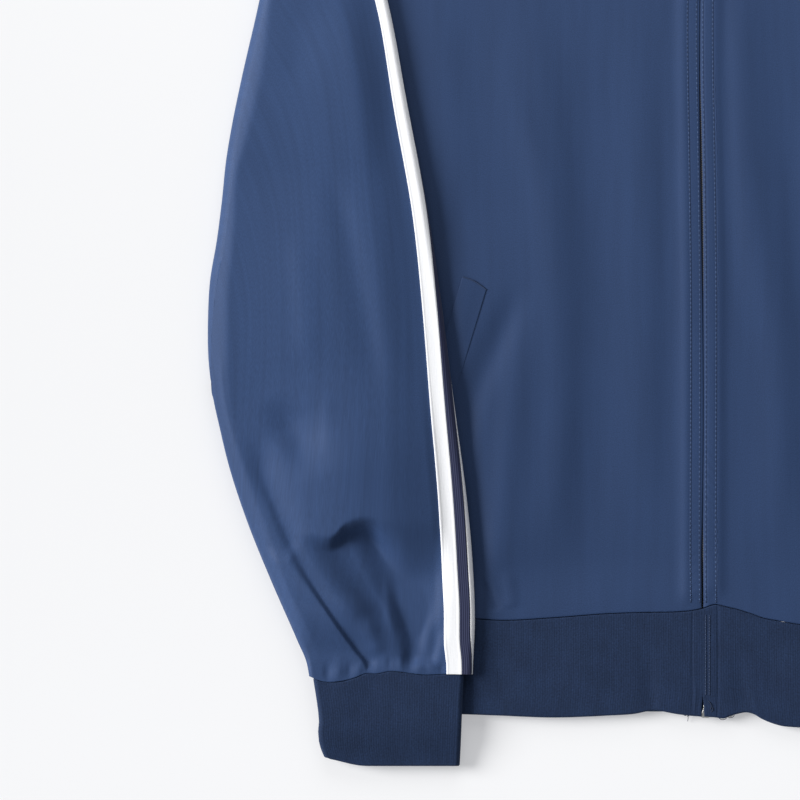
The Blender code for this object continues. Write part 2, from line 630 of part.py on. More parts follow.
def upper_part(u, steps):
    """Ring of the sleeve from the fold (0) to the cuff seam (1), lying over the body."""
    near = upper_plan(u, np.array([0, 0.04, 1]))
    ahead = upper_plan(u + 0.01 if u < 0.9 else u - 0.01, np.array([0.0]))[0]
    slant = mix(1, slant_between(near[0], near[1], ahead), smooth_step(0, 0.1, u))
    width = mix(FOLD_LENGTH, np.linalg.norm(near[2] - near[0]), smooth_step(0, 0.12, u))
    thick = mix(FLAT_SLEEVE, EDGE_SLEEVE, smooth_step(*PUFFING, u * INNER_LENGTH))
    thick = mix(thick, CUFF_THICK, smooth_step(30, 0, (1 - u) * INNER_LENGTH))
    start = float(curve(TAPE_START, near[0][1]))
    at = sleeve_columns(width, start, thick / 2, thick / 2, steps, slant)
    share, depth = at[:, 0] / width, at[:, 1]
    plan = upper_plan(u, share)
    fold = 2 * fold_line(share)[2]
    from_fold = u * mix(INNER_LENGTH, OUTER_LENGTH, share)
    from_seam = (1 - u) * mix(INNER_LENGTH, OUTER_LENGTH, share)
    under = mix(fold - FLAT_SLEEVE, rest_level(*plan.T), smooth_step(0, 45, from_fold))
    under = mix(under, CUFF_REST, smooth_step(30, 0, from_seam))
    edge = mix(fold, SLEEVE_EDGE, smooth_step(0, 60, from_fold))
    top = edge + rim_rise(distance_to([*FOLD_EDGE, *OUTER_EDGE], plan), plan[:, 1])
    here = mix(thick, top - under, smooth_step(*PLUMPING, at[:, 0]))
    here = mix(here, CUFF_THICK, smooth_step(24, 0, from_seam))
    shape = relief(SLEEVE_FOLDS, *plan.T) * smooth_step(0, 50, from_fold) * smooth_step(0, 12, from_seam)
    shape = shape + gathers(share, from_seam, width) * smooth_step(-4, 10, from_seam)
    shape = shape * smooth_step(12, 26, at[:, 0]) * smooth_step(1, 12, width - at[:, 0])
    return np.column_stack([plan, under + np.maximum(here + shape, THINNEST_SLEEVE) * (1 - depth)])


def sleeve_grid(steps, flats, bends, uppers):
    rings = [flat_part(u, steps) for u in np.linspace(0, 1, flats + 1)[:-1]]
    rings += [bent_part(angle, steps) for angle in np.linspace(0, pi, bends + 1)[:-1]]
    rings += [upper_part(u, steps) for u in uppers]
    return np.array(rings)


TAPE_COLUMNS = np.array([-11.4, -8.9, -6.4, -4.3, -2.1, 0, 2.5, 5, 7.5, 10])
STEPS = (TAPE_COLUMNS, np.linspace(0, 1, 21), 4,
         np.array([0, 0.02, 0.045, 0.07, 0.1, 0.25, 0.4, 0.55, 0.7, 0.85, 1]))
UPPER_SHARES = np.concatenate([[0, 0.035, 0.08, 0.15, 0.24, 0.33, 0.42], np.linspace(0.5, 0.95, 12),
                               [0.98, 1]])


def make_sleeve(side):
    """Sleeve tube from the neckline to the cuff, folded once, and the tape along its inner edge."""
    name = word(side)
    grid = mirrored(sleeve_grid(STEPS, 4, 5, UPPER_SHARES), side)
    top = (len(grid) - 6, 18)
    cloth(f"sleeve_{name}", grid, TRICOT, material("satin_sleeve", NAVY, 0.42), True, up_at=top)
    normal = face_normals(grid, True)
    normal = normal * np.sign(normal[top][2])
    raised = grid + normal * SEAM
    bands = (("narrow", 0, 2, WHITE), ("middle", 2, 5, NAVY_TAPE), ("wide", 5, 9, WHITE))
    for band_name, first, last, colour in bands:
        strip = raised[:, first:last + 1].copy()
        strip[0] = mix(strip[0], strip[1], 0.03)
        ends = strip.copy()
        gap = SEAM / 2
        for k, near in ((0, 1), (-1, -2)):
            step = ends[:, near] - ends[:, k]
            strip[:, k] += step * (gap / np.linalg.norm(step, axis=1))[:, None]
        cloth(f"tape_{band_name}_{name}", strip, TAPE, material(f"tape_{band_name}", colour, 0.7),
              up_at=(-4, last - first - 1), outward=1)


def make_cuff(side):
    """Ribbed cuff, a flattened tube that hangs over the hem rib's edge."""
    turn = np.linspace(pi / 2, -pi / 2, 5)
    flat = np.linspace(0, 1, 9)
    rows = []
    for fall in (0, 0.3, 0.6, 0.85, 1):
        height = mix(26 - SEAM, CUFF_LOW, fall)
        inner, outer = float(curve(CUFF_INNER, height)), float(curve(CUFF_OUTER, height))
        radius = CUFF_THICK / 2
        near, far = inner + radius, outer - radius
        upper = [(a, 1.0) for a in mix(near, far, flat)]
        outer_turn = [(far + radius * np.cos(t), 0.5 + 0.5 * np.sin(t)) for t in turn[1:-1]]
        lower = [(a, 0.0) for a in mix(far, near, flat)]
        inner_turn = [(near - radius * np.cos(t), 0.5 + 0.5 * np.sin(t)) for t in turn[-2:0:-1]]
        across, depth = np.array(upper + outer_turn + lower + inner_turn).T
        share = np.clip((across - inner) / (outer - inner), 0, 1)
        seam = curve(CUFF_SEAM, across) - 3 * SEAM
        low = CUFF_LOW + CUFF_CORNER * smooth_step(0.66, 1.04, share)**1.3
        heights = mix(seam, low, fall)
        level = CUFF_REST - CUFF_DROP * smooth_step(-9, -34, heights) + depth * CUFF_THICK
        rows.append(np.column_stack([across, heights, level]))
    cloth(f"cuff_{word(side)}", mirrored(np.array(rows), side), RIB,
          material("rib_cuff", NAVY_RIB, 0.8), True, up_at=(1, 4))


# ---------------------------------------------------------------- zip

def make_chain():
    """Zip tapes with the closed coil on them, as one strip that follows the zip's line."""
    heights = np.array([CHAIN_ENDS[0], 78, 180, 292, 355, 418, 500, 560, 590, 604, CHAIN_ENDS[1]])
    rings = []
    for height in heights:
        half = mix(ZIP_HALF, 6.5, smooth_step(560, 590, height))
        half = mix(half, COIL_HALF + 0.4, smooth_step(600, 604, height))
        low = CHAIN_LEVEL + CHAIN_RISE * smooth_step(592, 604, height)
        outline = [(-half, 0), (half, 0), (half, ZIP_TAPE), (COIL_HALF, ZIP_TAPE),
                   (COIL_HALF - 0.5, ZIP_TAPE + COIL_HIGH), (0.5 - COIL_HALF, ZIP_TAPE + COIL_HIGH),
                   (-COIL_HALF, ZIP_TAPE), (-half, ZIP_TAPE)]
        middle = float(zip_across(height))
        rings.append([(middle + x, height, low + z) for x, z in outline])
    count = len(rings[0])
    faces = [(i * count + j, i * count + (j + 1) % count, (i + 1) * count + (j + 1) % count,
              (i + 1) * count + j) for i in range(len(rings) - 1) for j in range(count)]
    last = (len(rings) - 1) * count
    # each cap is a tape strip and the coil's profile on it, so that both stay convex
    faces += [(7, 6, 3, 2, 1, 0), (6, 5, 4, 3)]
    faces += [tuple(last + k for k in (0, 1, 2, 3, 6, 7)), tuple(last + k for k in (3, 4, 5, 6))]
    faces = [face[::-1] for face in faces]
    new_object("zip_chain", place(np.array(rings).reshape(-1, 3)), faces,
               material("zip", (0.01, 0.012, 0.02), 0.5)).data.shade_flat()


def box(name, low, high, finish):
    """Box between two corners in millimetres, in the jacket's across, height and level."""
    corners = [(x, y, z) for x in (low[0], high[0]) for y in (low[1], high[1]) for z in (low[2], high[2])]
    faces = [(0, 1, 3, 2), (4, 6, 7, 5), (0, 4, 5, 1), (2, 3, 7, 6), (0, 2, 6, 4), (1, 5, 7, 3)]
    return new_object(name, place(corners), faces, finish)


def join_solid(base, others):
    """Union of overlapping solids, kept on the base."""
    for other in others:
        cut = base.modifiers.new(other.name, "BOOLEAN")
        cut.operation = "UNION"
        cut.object = other
        other.hide_render = True
        other.display_type = "WIRE"
    return base


def make_slider():
    """Slider: two plates round the coil, a post between them and a bridge for the pull tab."""
    metal = material("metal", METAL, 0.3, 1.0)
    half, long = SLIDER_SIZE[0] / 2, SLIDER_SIZE[1]
    low, high = SLIDER_AT - long / 2, SLIDER_AT + long / 2
    under = CHAIN_LEVEL - 0.05
    top = under + 2.6
    base = box("zip_slider", (-half, low, under), (half, high, under + 0.6), metal)
    parts = [("slider_top", (-half, low, top), (half, high, top + 0.8)),
             ("slider_post", (-0.7, SLIDER_AT - 0.6, under + 0.3), (0.7, SLIDER_AT + 3, top + 0.3)),
             ("bridge_low", (-0.8, low + 0.8, top + 0.4), (0.8, low + 2, PIVOT_HIGH + 1.8)),
             ("bridge_high", (-0.8, high - 2, top + 0.4), (0.8, high - 0.8, PIVOT_HIGH + 1.8)),
             ("bridge_beam", (-0.8, low + 1, PIVOT_HIGH + 0.9), (0.8, high - 1, PIVOT_HIGH + 1.79))]
    join_solid(base, [box(n, a, b, metal) for n, a, b in parts]).data.shade_flat()


def make_tab():
    """Pull tab on its cross bar, whose middle is the hinge's axis."""
    metal = material("metal_tab", METAL, 0.3, 1.0)
    hinge = bpy.data.objects.new("pull_hinge", None)
    hinge.location = place([(0, SLIDER_AT, PIVOT_HIGH)])[0]
    bpy.context.collection.objects.link(hinge)
    half, thick = TAB_WIDE / 2, TAB_THICK / 2
    base = box("pull_tab", (-half, SLIDER_AT - TAB_LONG, PIVOT_HIGH - thick),
               (half, SLIDER_AT - 6, PIVOT_HIGH + thick), metal)
    parts = [box(f"tab_arm_{n}", (x - 0.8, SLIDER_AT - 7, PIVOT_HIGH - thick + 0.02),
                 (x + 0.8, SLIDER_AT + thick, PIVOT_HIGH + thick - 0.02), metal)
             for n, x in (("right", -2.2), ("left", 2.2))]
    parts.append(box("tab_bar", (-2.4, SLIDER_AT - thick + 0.05, PIVOT_HIGH - thick + 0.05),
                     (2.4, SLIDER_AT + thick - 0.05, PIVOT_HIGH + thick - 0.05), metal))
    join_solid(base, parts).data.shade_flat()
    bpy.context.view_layer.update()
    base.parent = hinge
    base.matrix_parent_inverse = hinge.matrix_world.inverted()


def make_zip_end():
    """Metal box that ends the zip at the hem."""
    box("zip_end", (0.4, -2.4, CHAIN_LEVEL), (3.4, CHAIN_ENDS[0] - SEAM, CHAIN_LEVEL + 2.8),
        material("metal_end", METAL, 0.35, 1.0)).data.shade_flat()


def main():
    for thing in list(bpy.data.objects):
        bpy.data.objects.remove(thing, do_unlink=True)
    make_back()
    make_hem_rib()
    make_collar()
    for side in (-1, 1):
        make_front(side)
        make_welt(side)
        make_sleeve(side)
        make_cuff(side)
    make_chain()
    make_slider()
    make_tab()
    make_zip_end()


main()
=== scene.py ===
"""Looks of the track jacket: satin panels, rib knit, sleeve tapes, zip, sewing and their light.

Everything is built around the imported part, in its own frame. Sizes are in millimetres, as
"across" (distance from the middle line), "height" (above the hem's lower edge) and "level"
(above the surface); place() turns them into the frame's metres. side is -1 on the wearer's
right, which is at -X, and 1 on the left.
"""

from math import pi, radians

import bpy
import numpy as np
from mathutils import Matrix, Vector


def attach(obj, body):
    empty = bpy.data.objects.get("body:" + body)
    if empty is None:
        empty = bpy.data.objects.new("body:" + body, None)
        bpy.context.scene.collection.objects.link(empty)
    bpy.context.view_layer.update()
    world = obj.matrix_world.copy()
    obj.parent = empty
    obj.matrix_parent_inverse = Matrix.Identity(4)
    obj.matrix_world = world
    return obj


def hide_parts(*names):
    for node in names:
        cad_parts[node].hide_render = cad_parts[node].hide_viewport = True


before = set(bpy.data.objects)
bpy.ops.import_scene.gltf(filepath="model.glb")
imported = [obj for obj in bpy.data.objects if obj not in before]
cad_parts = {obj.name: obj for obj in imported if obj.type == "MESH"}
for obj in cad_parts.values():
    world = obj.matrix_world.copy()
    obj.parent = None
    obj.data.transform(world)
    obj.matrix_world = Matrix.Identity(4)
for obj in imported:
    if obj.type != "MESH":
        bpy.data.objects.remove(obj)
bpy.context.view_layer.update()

MM = 0.001
HALF_HEIGHT = 326.0          # the hem's edge to the middle of the whole outline

# Cloth, and the levels at which it lies
TRICOT = 1.2
RIB = 2.4
SEAM = 0.3
TAPE_RISE = 0.75             # the tapes' faces above the sleeve's
FRONT_TOP = 4.6
RIB_TOP = 7.0
SEWN_TOP = 6.4               # satin where it is sewn to rib
PLACKET_TOP = 5.6
SLEEVE_REST = 6.5
CUFF_REST = 7.4
CUFF_DROP = 4.6              # how far a cuff sinks past the hem rib's edge
FLOOR_REST = 0.6
FLAT_SLEEVE = 4.6
EDGE_SLEEVE = 7.8            # thickness of a folded sleeve at its inner edge
PUFFING = (30, 330)          # distances down the inner edge over which it grows thicker
SLEEVE_EDGE = 11.0           # level of a folded sleeve's upper face at its outer outline
RIM_SLOPE = 0.45             # how steeply that face climbs from the outline
SLEEVE_CROWN = 3.5           # how far it still climbs towards the middle, over the next distance
CROWN_WIDE = 90
CUFF_THICK = 6.0
SIDE_TOP = 3.0               # a front where it reaches the side seam
TAPE_ROOM = 1.2              # how far the flat sleeve is lifted by the tape under it

# Body outline
HEM_HALF = 238.0
BACK_SEAM = 57.0
BACK_HEM = 0.5
NECK = (85.0, 640.0)
FRONT_NECK = 568.0
BACK_NECK = 620.0
NECK_POWER = 2.2
ARMPIT = (272.0, 330.0)
COLLAR_HIGH = 52.0
COLLAR_SIDE = 44.0
COLLAR_BACK = 57.0
SIDE = [(238.5, 58), (246, 76), (256, 130), (266, 215), (272, 330)]
RAGLAN = [(250, 420), (165, 530)]
FRONT_RAGLAN_END = 46.0
BACK_RAGLAN_END = 41.0
# hem rib in front, across with the wearer's right negative: across, seam height, hem height
HEM = [(-240, 57, 0), (-143, 59, -1.2), (-127, 58.1, -1.8), (-95, 59.6, -3), (-60, 62.2, -1.8),
       (-42, 62.9, -0.6), (-31, 63.1, 1.4), (-16, 63.4, -0.8), (-6, 64.3, -2), (0, 65.5, -2.4),
       (9, 68, -3), (14, 67, -3.6), (18, 66, -2), (23, 64.9, -0.6), (28, 63.3, 0.2),
       (33, 61.7, -1.0), (37, 60.1, -3.4), (49, 57.6, -8.0), (62, 55.4, -9.3), (150, 53, -6), (240, 57, 0)]
ZIP_LINE = [(0, 0.7), (78, 0.3), (292, 0.3), (355, -0.6), (418, -1.6), (500, -1.0), (640, 0)]
# half the slot between the fronts, where the coil shows and where it doesn't: height, half
ZIP_SLOT = [(60, 0.5), (108, 0.4), (118, 0.15), (258, 0.1), (275, 0.3), (390, 0.3), (405, 0.1), (640, 0.1)]

# Sleeve: across, height
SHOULDER = [(85, 640), (140, 623), (195, 604), (232, 583)]
UNDERARM = [(272, 330), (283, 290), (294, 248)]
FOLD_EDGE = [(259, 566), (279, 449), (290.4, 399), (295.6, 374), (300, 348), (302.6, 323), (305.8, 298),
             (310, 273), (311.4, 247), (311, 222), (309.6, 208)]
INNER_EDGE = [(233, 538), (213, 500), (199, 449), (186.8, 386), (174.7, 323), (165.2, 260), (157.2, 197),
              (148.8, 134), (145.4, 96), (144, 60), (145.4, 26)]
OUTER_EDGE = [(308.8, 204), (307.7, 197), (304, 180), (299, 159), (287, 122), (271.6, 84), (254.8, 46),
              (249.2, 33), (247.4, 24)]
FOLD_RADIUS = [(0, 6.5), (0.2, 6.0), (0.8, 5.6), (1, 5.5)]
# width of the climbing rim beside the outer outline: height, width
RIM_WIDE = [(26, 2.5), (46, 4), (62, 6.5), (78, 8.5), (109, 11), (140, 11), (188, 10.5), (229, 14),
            (260, 14), (307, 11), (339, 9), (358, 11.5), (402, 13.5), (449, 8), (566, 8)]
CUFF_SEAM = [(145, 24.5), (161.5, 24.7), (176.5, 24.4), (189, 26), (196, 26.6), (205.5, 25),
             (211, 25.3), (218.6, 22.5), (228, 20.2), (239, 20.2), (247, 23)]
CUFF_INNER = [(26, 150), (2, 151.2), (-20, 152), (-33, 152.6)]
CUFF_OUTER = [(26, 245), (8, 242.5), (-4, 241.3), (-17, 241.8), (-26, 240.2), (-34, 237.5)]
CUFF_TOP = 25.7
CUFF_LOW = -33.5
CUFF_CORNER = 5.2            # how far the cuff's outer lower corner is rounded up
CUFF_CORNER_AT = (0.66, 1.04)  # and over which shares of its width
CUFF_DROP_AT = (-9, -34)     # heights over which it sinks past the hem rib's edge
RAGLAN_LENGTH = 388.0
NECK_SHARE = 0.1

WIDE_BAND = 10.0
MIDDLE_BAND = 6.4
NARROW_BAND = 5.0
# where the wide band starts, round the sleeve from its inner edge: height, distance
TAPE_START = [(26, 7.6), (33, 8.1), (46, 9.9), (71, 10.5), (96, 10.8), (134, 10.0), (197, 7.2), (260, 4.4),
              (323, 1.5), (386, 0.4), (449, -1.3), (566, 0.3)]

# Folds. Each row is a line of points (across, height), how far it rises, its half widths at the
# start and the end on the left and on the right of someone who walks along it, and the shares over
# which its ends fade. On a sleeve or a front, a walk down has the outer side on the left.
SLEEVE_FOLDS = [
    # the long crease down to the cuff, soft at first
    ([(279, 182), (275.5, 150), (267.5, 128), (261, 113), (253, 96)], -2.0, (9, 4), (9, 9), 0.35, 0.3),
    ([(266, 121.6), (261, 113), (253.3, 96.4), (243.8, 79), (226.5, 52.3), (218.6, 41.3), (210.5, 29),
      (210.7, 25)], -2.4, (5, 1.0), (8, 9), 0.25, 0.01),
    # hollow under the rim
    ([(272, 201), (262, 184), (254, 173), (249, 160), (246, 145)], -3.6, (11, 10), (9, 16), 0.42, 0.5),
    ([(198.8, 92), (197.5, 76), (195.5, 60), (193.5, 46)], 1.0, (3.6, 3.6), (9, 9), 0.4, 0.4),
    # folds that run up from the cuff seam
    ([(185.5, 76), (181.8, 56), (181.1, 27)], -4.2, (9, 7), (12, 7), 0.45, 0.2),
    ([(165, 60), (167.5, 46), (172, 31)], -1.8, (7, 6), (6, 4), 0.4, 0.1),
    ([(213, 62), (208, 48), (204, 34)], 1.5, (7, 7), (6, 6), 0.4, 0.3),
    # shallow drapes above
    ([(237, 347), (225, 307), (218.6, 276), (212, 244), (206, 213), (203, 190)], -1.3,
     (8, 10), (8, 8), 0.25, 0.3),
    ([(262, 450), (258, 420), (258, 385)], -0.7, (12, 12), (14, 14), 0.3, 0.4),
    ([(256, 310), (251, 262), (248, 213)], 0.8, (7, 7), (12, 12), 0.3, 0.3),
    ([(236.5, 206), (236, 185), (236, 160)], 0.3, (4, 4), (6, 6), 0.3, 0.3),
    ([(303, 230), (302, 205), (297, 180), (290, 155)], 0.35, (1.2, 1.2), (1.6, 1.6), 0.3, 0.4),
]

# The puffed part of the sleeve above its gathers, and the deep hollow under it. How far the face
# stands above its plain form: across, rise
PUFF = [(296, 0), (280, 0.7), (268, 2.0), (258, 3.3), (250, 4.3), (242, 5.0), (234, 5.5), (226, 5.7),
        (218, 5.5), (208, 4.9), (195, 3.9), (182, 2.8), (168, 1.7), (156, 0.7), (146, 0)]
PUFF_START = (30, 80)        # heights over which the puffed part grows from the cuff upwards
PUFF_END = (225, 150)        # heights over which it ends
# the hollow's upper edge, and the distance over which the face turns down from it: across, height,
# distance
ARCH = [(262, 106, 12), (253, 113, 12), (248, 114, 12), (243, 114, 12), (238, 112.5, 11),
        (234, 112.5, 11), (230, 115, 12), (226, 119.5, 13), (221, 122.5, 15), (215, 124.5, 16),
        (207, 124.5, 19), (200, 123, 28), (190, 122, 42), (170, 122, 46), (150, 122, 46)]
# its left and right sides: height, across of both
HOLLOW_SIDES = [(30, 208, 180), (60, 215, 184), (69, 220, 186), (76, 228, 188), (87, 238, 190),
                (99, 247, 194), (114, 255, 196), (130, 257, 198)]
# how deep it is: share of the way from the left side to the right one, share of the depth
HOLLOW = [(-1, 0), (0, 0.01), (0.04, 0.05), (0.4, 0.5), (0.48, 0.56), (0.56, 0.6), (0.86, 0.94),
          (0.94, 0.99), (1, 1), (1.15, 0.95), (1.4, 0.76), (1.8, 0.46), (2.2, 0.2), (2.6, 0.08), (3, 0.05)]
HOLLOW_DEEP = 14.2
HOLLOW_START = (36, 74)      # heights over which it deepens from the cuff upwards

# the fronts' folds
FRONT_FOLDS = {
    -1: [
        ([(118, 470), (92, 323), (90, 155), (98, 76)], 1.5, (26, 30), (16, 18), 0.2, 0.15),
        ([(132, 428), (97, 323), (92, 240), (91, 155), (103, 92)], 0.6, (11, 12), (7, 8), 0.25, 0.2),
        ([(160, 310), (150, 250), (142, 197), (134, 134), (130, 96), (128, 62)], 2.4,
         (9, 9), (34, 34), 0.3, 0.2),
        ([(84, 420), (72, 300), (74, 90)], -0.9, (12, 12), (20, 20), 0.3, 0.2),
        ([(113, 276), (128, 236), (146, 196), (158, 150)], -1.7, (8, 10), (8, 8), 0.3, 0.3),
        ([(110, 262), (120, 190), (131, 72)], 1.0, (8, 8), (12, 12), 0.3, 0.2),
        ([(139, 86), (133, 74), (129, 64)], -0.9, (3.5, 3), (2.5, 2), 0.4, 0.1),
        ([(124, 92), (121, 78), (120, 66)], 0.6, (4, 4), (4, 4), 0.4, 0.1),
        ([(42, 500), (38, 300), (36, 100)], 0.6, (14, 14), (12, 12), 0.3, 0.3),
        ([(24, 420), (20, 240), (22, 90)], -0.5, (7, 7), (7, 7), 0.3, 0.3),
        ([(170, 470), (160, 380), (150, 300)], 0.8, (18, 18), (14, 14), 0.3, 0.4),
    ],
    1: [
        ([(16, 500), (28, 330), (48, 240), (52, 90)], 1.5, (16, 16), (15, 15), 0.2, 0.2),
        ([(50, 420), (62, 300), (66, 110)], -1.0, (12, 12), (12, 12), 0.3, 0.2),
        ([(100, 470), (90, 300), (96, 120)], 1.6, (18, 18), (22, 22), 0.2, 0.2),
        ([(118, 260), (134, 210), (150, 160)], -0.9, (8, 8), (9, 9), 0.3, 0.3),
        ([(136, 90), (131, 76), (128, 64)], -0.8, (3, 3), (3, 3), 0.4, 0.1),
        ([(172, 460), (158, 360), (150, 290)], 0.8, (16, 16), (16, 16), 0.3, 0.4),
    ],
}
# how the left sleeve's folds differ, in turn: moved across and up, and how deep for the same width
LEFT_CHANGES = [(-5, 9, 0.9), (3, -4, 1.1), (-3, 6, 0.8), (5, 3, 1.05), (-6, -5, 1.0)]
CHANGES_START = (30, 60)     # heights over which a fold's move upwards sets in
FOLD_NARROWING = 0.6         # share of a fold's length over which its width changes

# Topstitching beside the zip on each front: distance from the zip's line, pitch
ZIP_ROWS = {-1: [(1.8, 3.1), (7.5, 2.75)], 1: [(2.2, 3.15), (8.4, 2.95)]}
STITCH_LONG = 1.25
THREAD = 0.38                # radius
STITCH_BOW = 0.16            # how far a stitch bows up
STITCH_LEAN = 0.06           # how slantwise it lies
STITCH_CHANCE = 0.05         # how much stitches differ in place and lean
STITCH_REACH = 0.4           # half the run over which a stitch's direction is taken
HOLE_LONG = 1.0              # the needle holes between stitches: dark capsules just over the cloth, painted shade of the dimples that the needle leaves
HOLE_RADIUS = 0.42
HOLE_RISE = 0.04


# ---------------------------------------------------------------- curves and steps

def smooth_step(low, high, value):
    """0 at low and 1 at high, with level ends."""
    t = np.clip((np.asarray(value, float) - low) / (high - low), 0, 1)
    return t * t * (3 - 2 * t)


def mix(first, second, share):
    return first + (second - first) * share


def unit(vectors):
    return vectors / np.linalg.norm(vectors, axis=-1, keepdims=True)


def curve(rows, at):
    """Smooth curve through a table: its first column at the places given, the others returned."""
    table = np.array(rows, float)
    table = table[np.argsort(table[:, 0])]
    place, value = table[:, 0], table[:, 1:]
    slope = np.gradient(value, place, axis=0)
    at = np.clip(np.asarray(at, float), place[0], place[-1])
    k = np.clip(np.searchsorted(place, at, side="right") - 1, 0, len(place) - 2)
    step = (place[k + 1] - place[k])[..., None]
    t = (at - place[k])[..., None] / step
    found = ((2 * t**3 - 3 * t**2 + 1) * value[k] + (t**3 - 2 * t**2 + t) * step * slope[k]
             + (3 * t**2 - 2 * t**3) * value[k + 1] + (t**3 - t**2) * step * slope[k + 1])
    return found[..., 0] if found.shape[-1] == 1 else found


def route(points, share):
    """Point at a share of the way along a smooth line through points in the plane."""
    points = np.array(points, float)
    along = np.concatenate([[0], np.cumsum(np.linalg.norm(np.diff(points, axis=0), axis=1))])
    return curve(np.column_stack([along / along[-1], points]), share)


def line_length(points):
    return float(np.linalg.norm(np.diff(np.array(points, float), axis=0), axis=1).sum())


def follow(points, across, height):
    """For each place, its share along a smooth line and its distance from it, positive on its left."""
    line = route(points, np.linspace(0, 1, 8 * len(points)))
    nearest = np.full(across.shape, np.inf)
    share, aside = np.zeros(across.shape), np.zeros(across.shape)
    for k, (start, end) in enumerate(zip(line[:-1], line[1:])):
        run = end - start
        off_a, off_h = across - start[0], height - start[1]
        t = np.clip((off_a * run[0] + off_h * run[1]) / (run @ run), 0, 1)
        distance = np.hypot(off_a - t * run[0], off_h - t * run[1])
        turned = run[0] * off_h - run[1] * off_a
        closer = distance < nearest
        nearest = np.where(closer, distance, nearest)
        share = np.where(closer, (k + t) / (len(line) - 1), share)
        aside = np.where(closer, np.where(turned > 0, distance, -distance), aside)
    return share, aside


def folds_on(table, across, height):
    """Rise that a table of folds gives at each place."""
    total = np.zeros(across.shape)
    for points, rise, left, right, fade_in, fade_out in table:
        share, aside = follow(points, across, height)
        narrowing = smooth_step(0, FOLD_NARROWING, share)
        half = np.where(aside > 0, mix(*left, narrowing), mix(*right, narrowing))
        ends = smooth_step(0, fade_in, share) * smooth_step(1, 1 - fade_out, share)
        total += rise * ends * np.exp(-(aside / half)**2)
    return total


def puffed(across, height):
    """How far the puffed part of a sleeve and the hollow under it stand over its plain form."""
    edge, turn = np.moveaxis(curve(ARCH, across), -1, 0)
    left, right = np.moveaxis(curve(HOLLOW_SIDES, height), -1, 0)
    dip = HOLLOW_DEEP * curve(HOLLOW, (left - across) / (left - right))
    puff = curve(PUFF, across) * smooth_step(*PUFF_START, height)
    hollow = curve(PUFF, np.maximum(across, left)) - dip
    under = smooth_step(0, 1, (edge - height) / turn) * smooth_step(*HOLLOW_START, height)
    return mix(puff, hollow, under) * smooth_step(*PUFF_END, height)


def changed(folds, changes):
    """Similar folds, each moved and deepened by the next of the changes."""
    made = []
    for k, (points, rise, *rest) in enumerate(folds):
        over, up, deeper = changes[k % len(changes)]
        moved = [(a + over, h + up * smooth_step(*CHANGES_START, h)) for a, h in points]
        made.append((moved, rise * deeper, *rest))
    return made


def zip_across(height):
    return curve(ZIP_LINE, height)


def front_neckline(across):
    return FRONT_NECK + (NECK[1] - FRONT_NECK) * (np.abs(across) / NECK[0])**NECK_POWER


def back_neckline(across):
    return BACK_NECK + (NECK[1] - BACK_NECK) * (np.abs(across) / NECK[0])**NECK_POWER


def hem_seam(x):
    return curve(HEM, x)[..., 0]


def hem_edge(x):
    return curve(HEM, x)[..., 1]


def raglan(share, front):
    """Raglan seam from the neckline (0) to the armpit (1), as across and height."""
    end = FRONT_RAGLAN_END if front else BACK_RAGLAN_END
    top = (end, float(front_neckline(end) if front else back_neckline(end)))
    corners = np.array([top, RAGLAN[1], RAGLAN[0], ARMPIT])
    t = np.asarray(share, float)[..., None]
    return ((1 - t)**3 * corners[0] + 3 * t * (1 - t)**2 * corners[1]
            + 3 * t**2 * (1 - t) * corners[2] + t**3 * corners[3])


# ---------------------------------------------------------------- meshes

def place(points):
    """Signed across, height and level in millimetres to the frame's metres."""
    return (np.array(points, float) - (0, HALF_HEIGHT, 0)) * MM


def normals(grid, closed=False):
    """Unit normals of a grid of points."""
    if closed:
        wide = np.concatenate([grid[:, -1:], grid, grid[:, :1]], axis=1)
        across = wide[:, 2:] - wide[:, :-2]
    else:
        across = np.gradient(grid, axis=1)
    return unit(np.cross(np.gradient(grid, axis=0), across))


def outward(grid, closed, up_at):
    """Normals that point out of the cloth: upwards at the place up_at."""
    found = normals(grid, closed)
    return found * np.sign(found[up_at][2])


def new_object(name, corners, faces, finishes):
    mesh = bpy.data.meshes.new(name)
    mesh.from_pydata([tuple(c) for c in corners], [], faces)
    for finish in finishes:
        mesh.materials.append(finish)
    mesh.shade_smooth()
    made = bpy.data.objects.new(name, mesh)
    bpy.context.collection.objects.link(made)
    return made


def word(side):
    return "right" if side < 0 else "left"


def dress(made, node, body="root"):
    """Gives a piece its body, and hides the CAD node that it stands for."""
    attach(made, body)
    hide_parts(node)


def skin(name, grid, finish, closed=False, facing_up=(0, 0)):
    """Smooth skin through a grid, its face at facing_up looking up, with a map of the flat cloth.

    The map "cloth" gives the distance along the rows and along the columns, in metres.
    """
    rows, columns = grid.shape[:2]
    last = columns if closed else columns - 1
    i, j = np.meshgrid(np.arange(rows - 1), np.arange(last), indexing="ij")
    after = (j + 1) % columns
    faces = np.stack([i * columns + j, i * columns + after, (i + 1) * columns + after,
                      (i + 1) * columns + j], axis=-1).reshape(-1, 4)
    ring = np.concatenate([grid, grid[:, :1]], axis=1) if closed else grid
    over = np.cumsum(np.linalg.norm(np.diff(ring, axis=1, prepend=ring[:, :1]), axis=2), axis=1)
    along = np.cumsum(np.linalg.norm(np.diff(ring, axis=0, prepend=ring[:1]), axis=2), axis=0)
    flat = np.dstack([over, along]) * MM
    corners = np.stack([flat[i, j], flat[i, j + 1], flat[i + 1, j + 1], flat[i + 1, j]], axis=2)
    corners = corners.reshape(-1, 4, 2)
    if normals(grid, closed)[facing_up][2] > 0:
        faces, corners = faces[:, ::-1], corners[:, ::-1]
    made = new_object(name, place(grid.reshape(-1, 3)), faces.tolist(), [finish])
    cloth_map = made.data.uv_layers.new(name="cloth")
    cloth_map.data.foreach_set("uv", corners.reshape(-1))
    return made


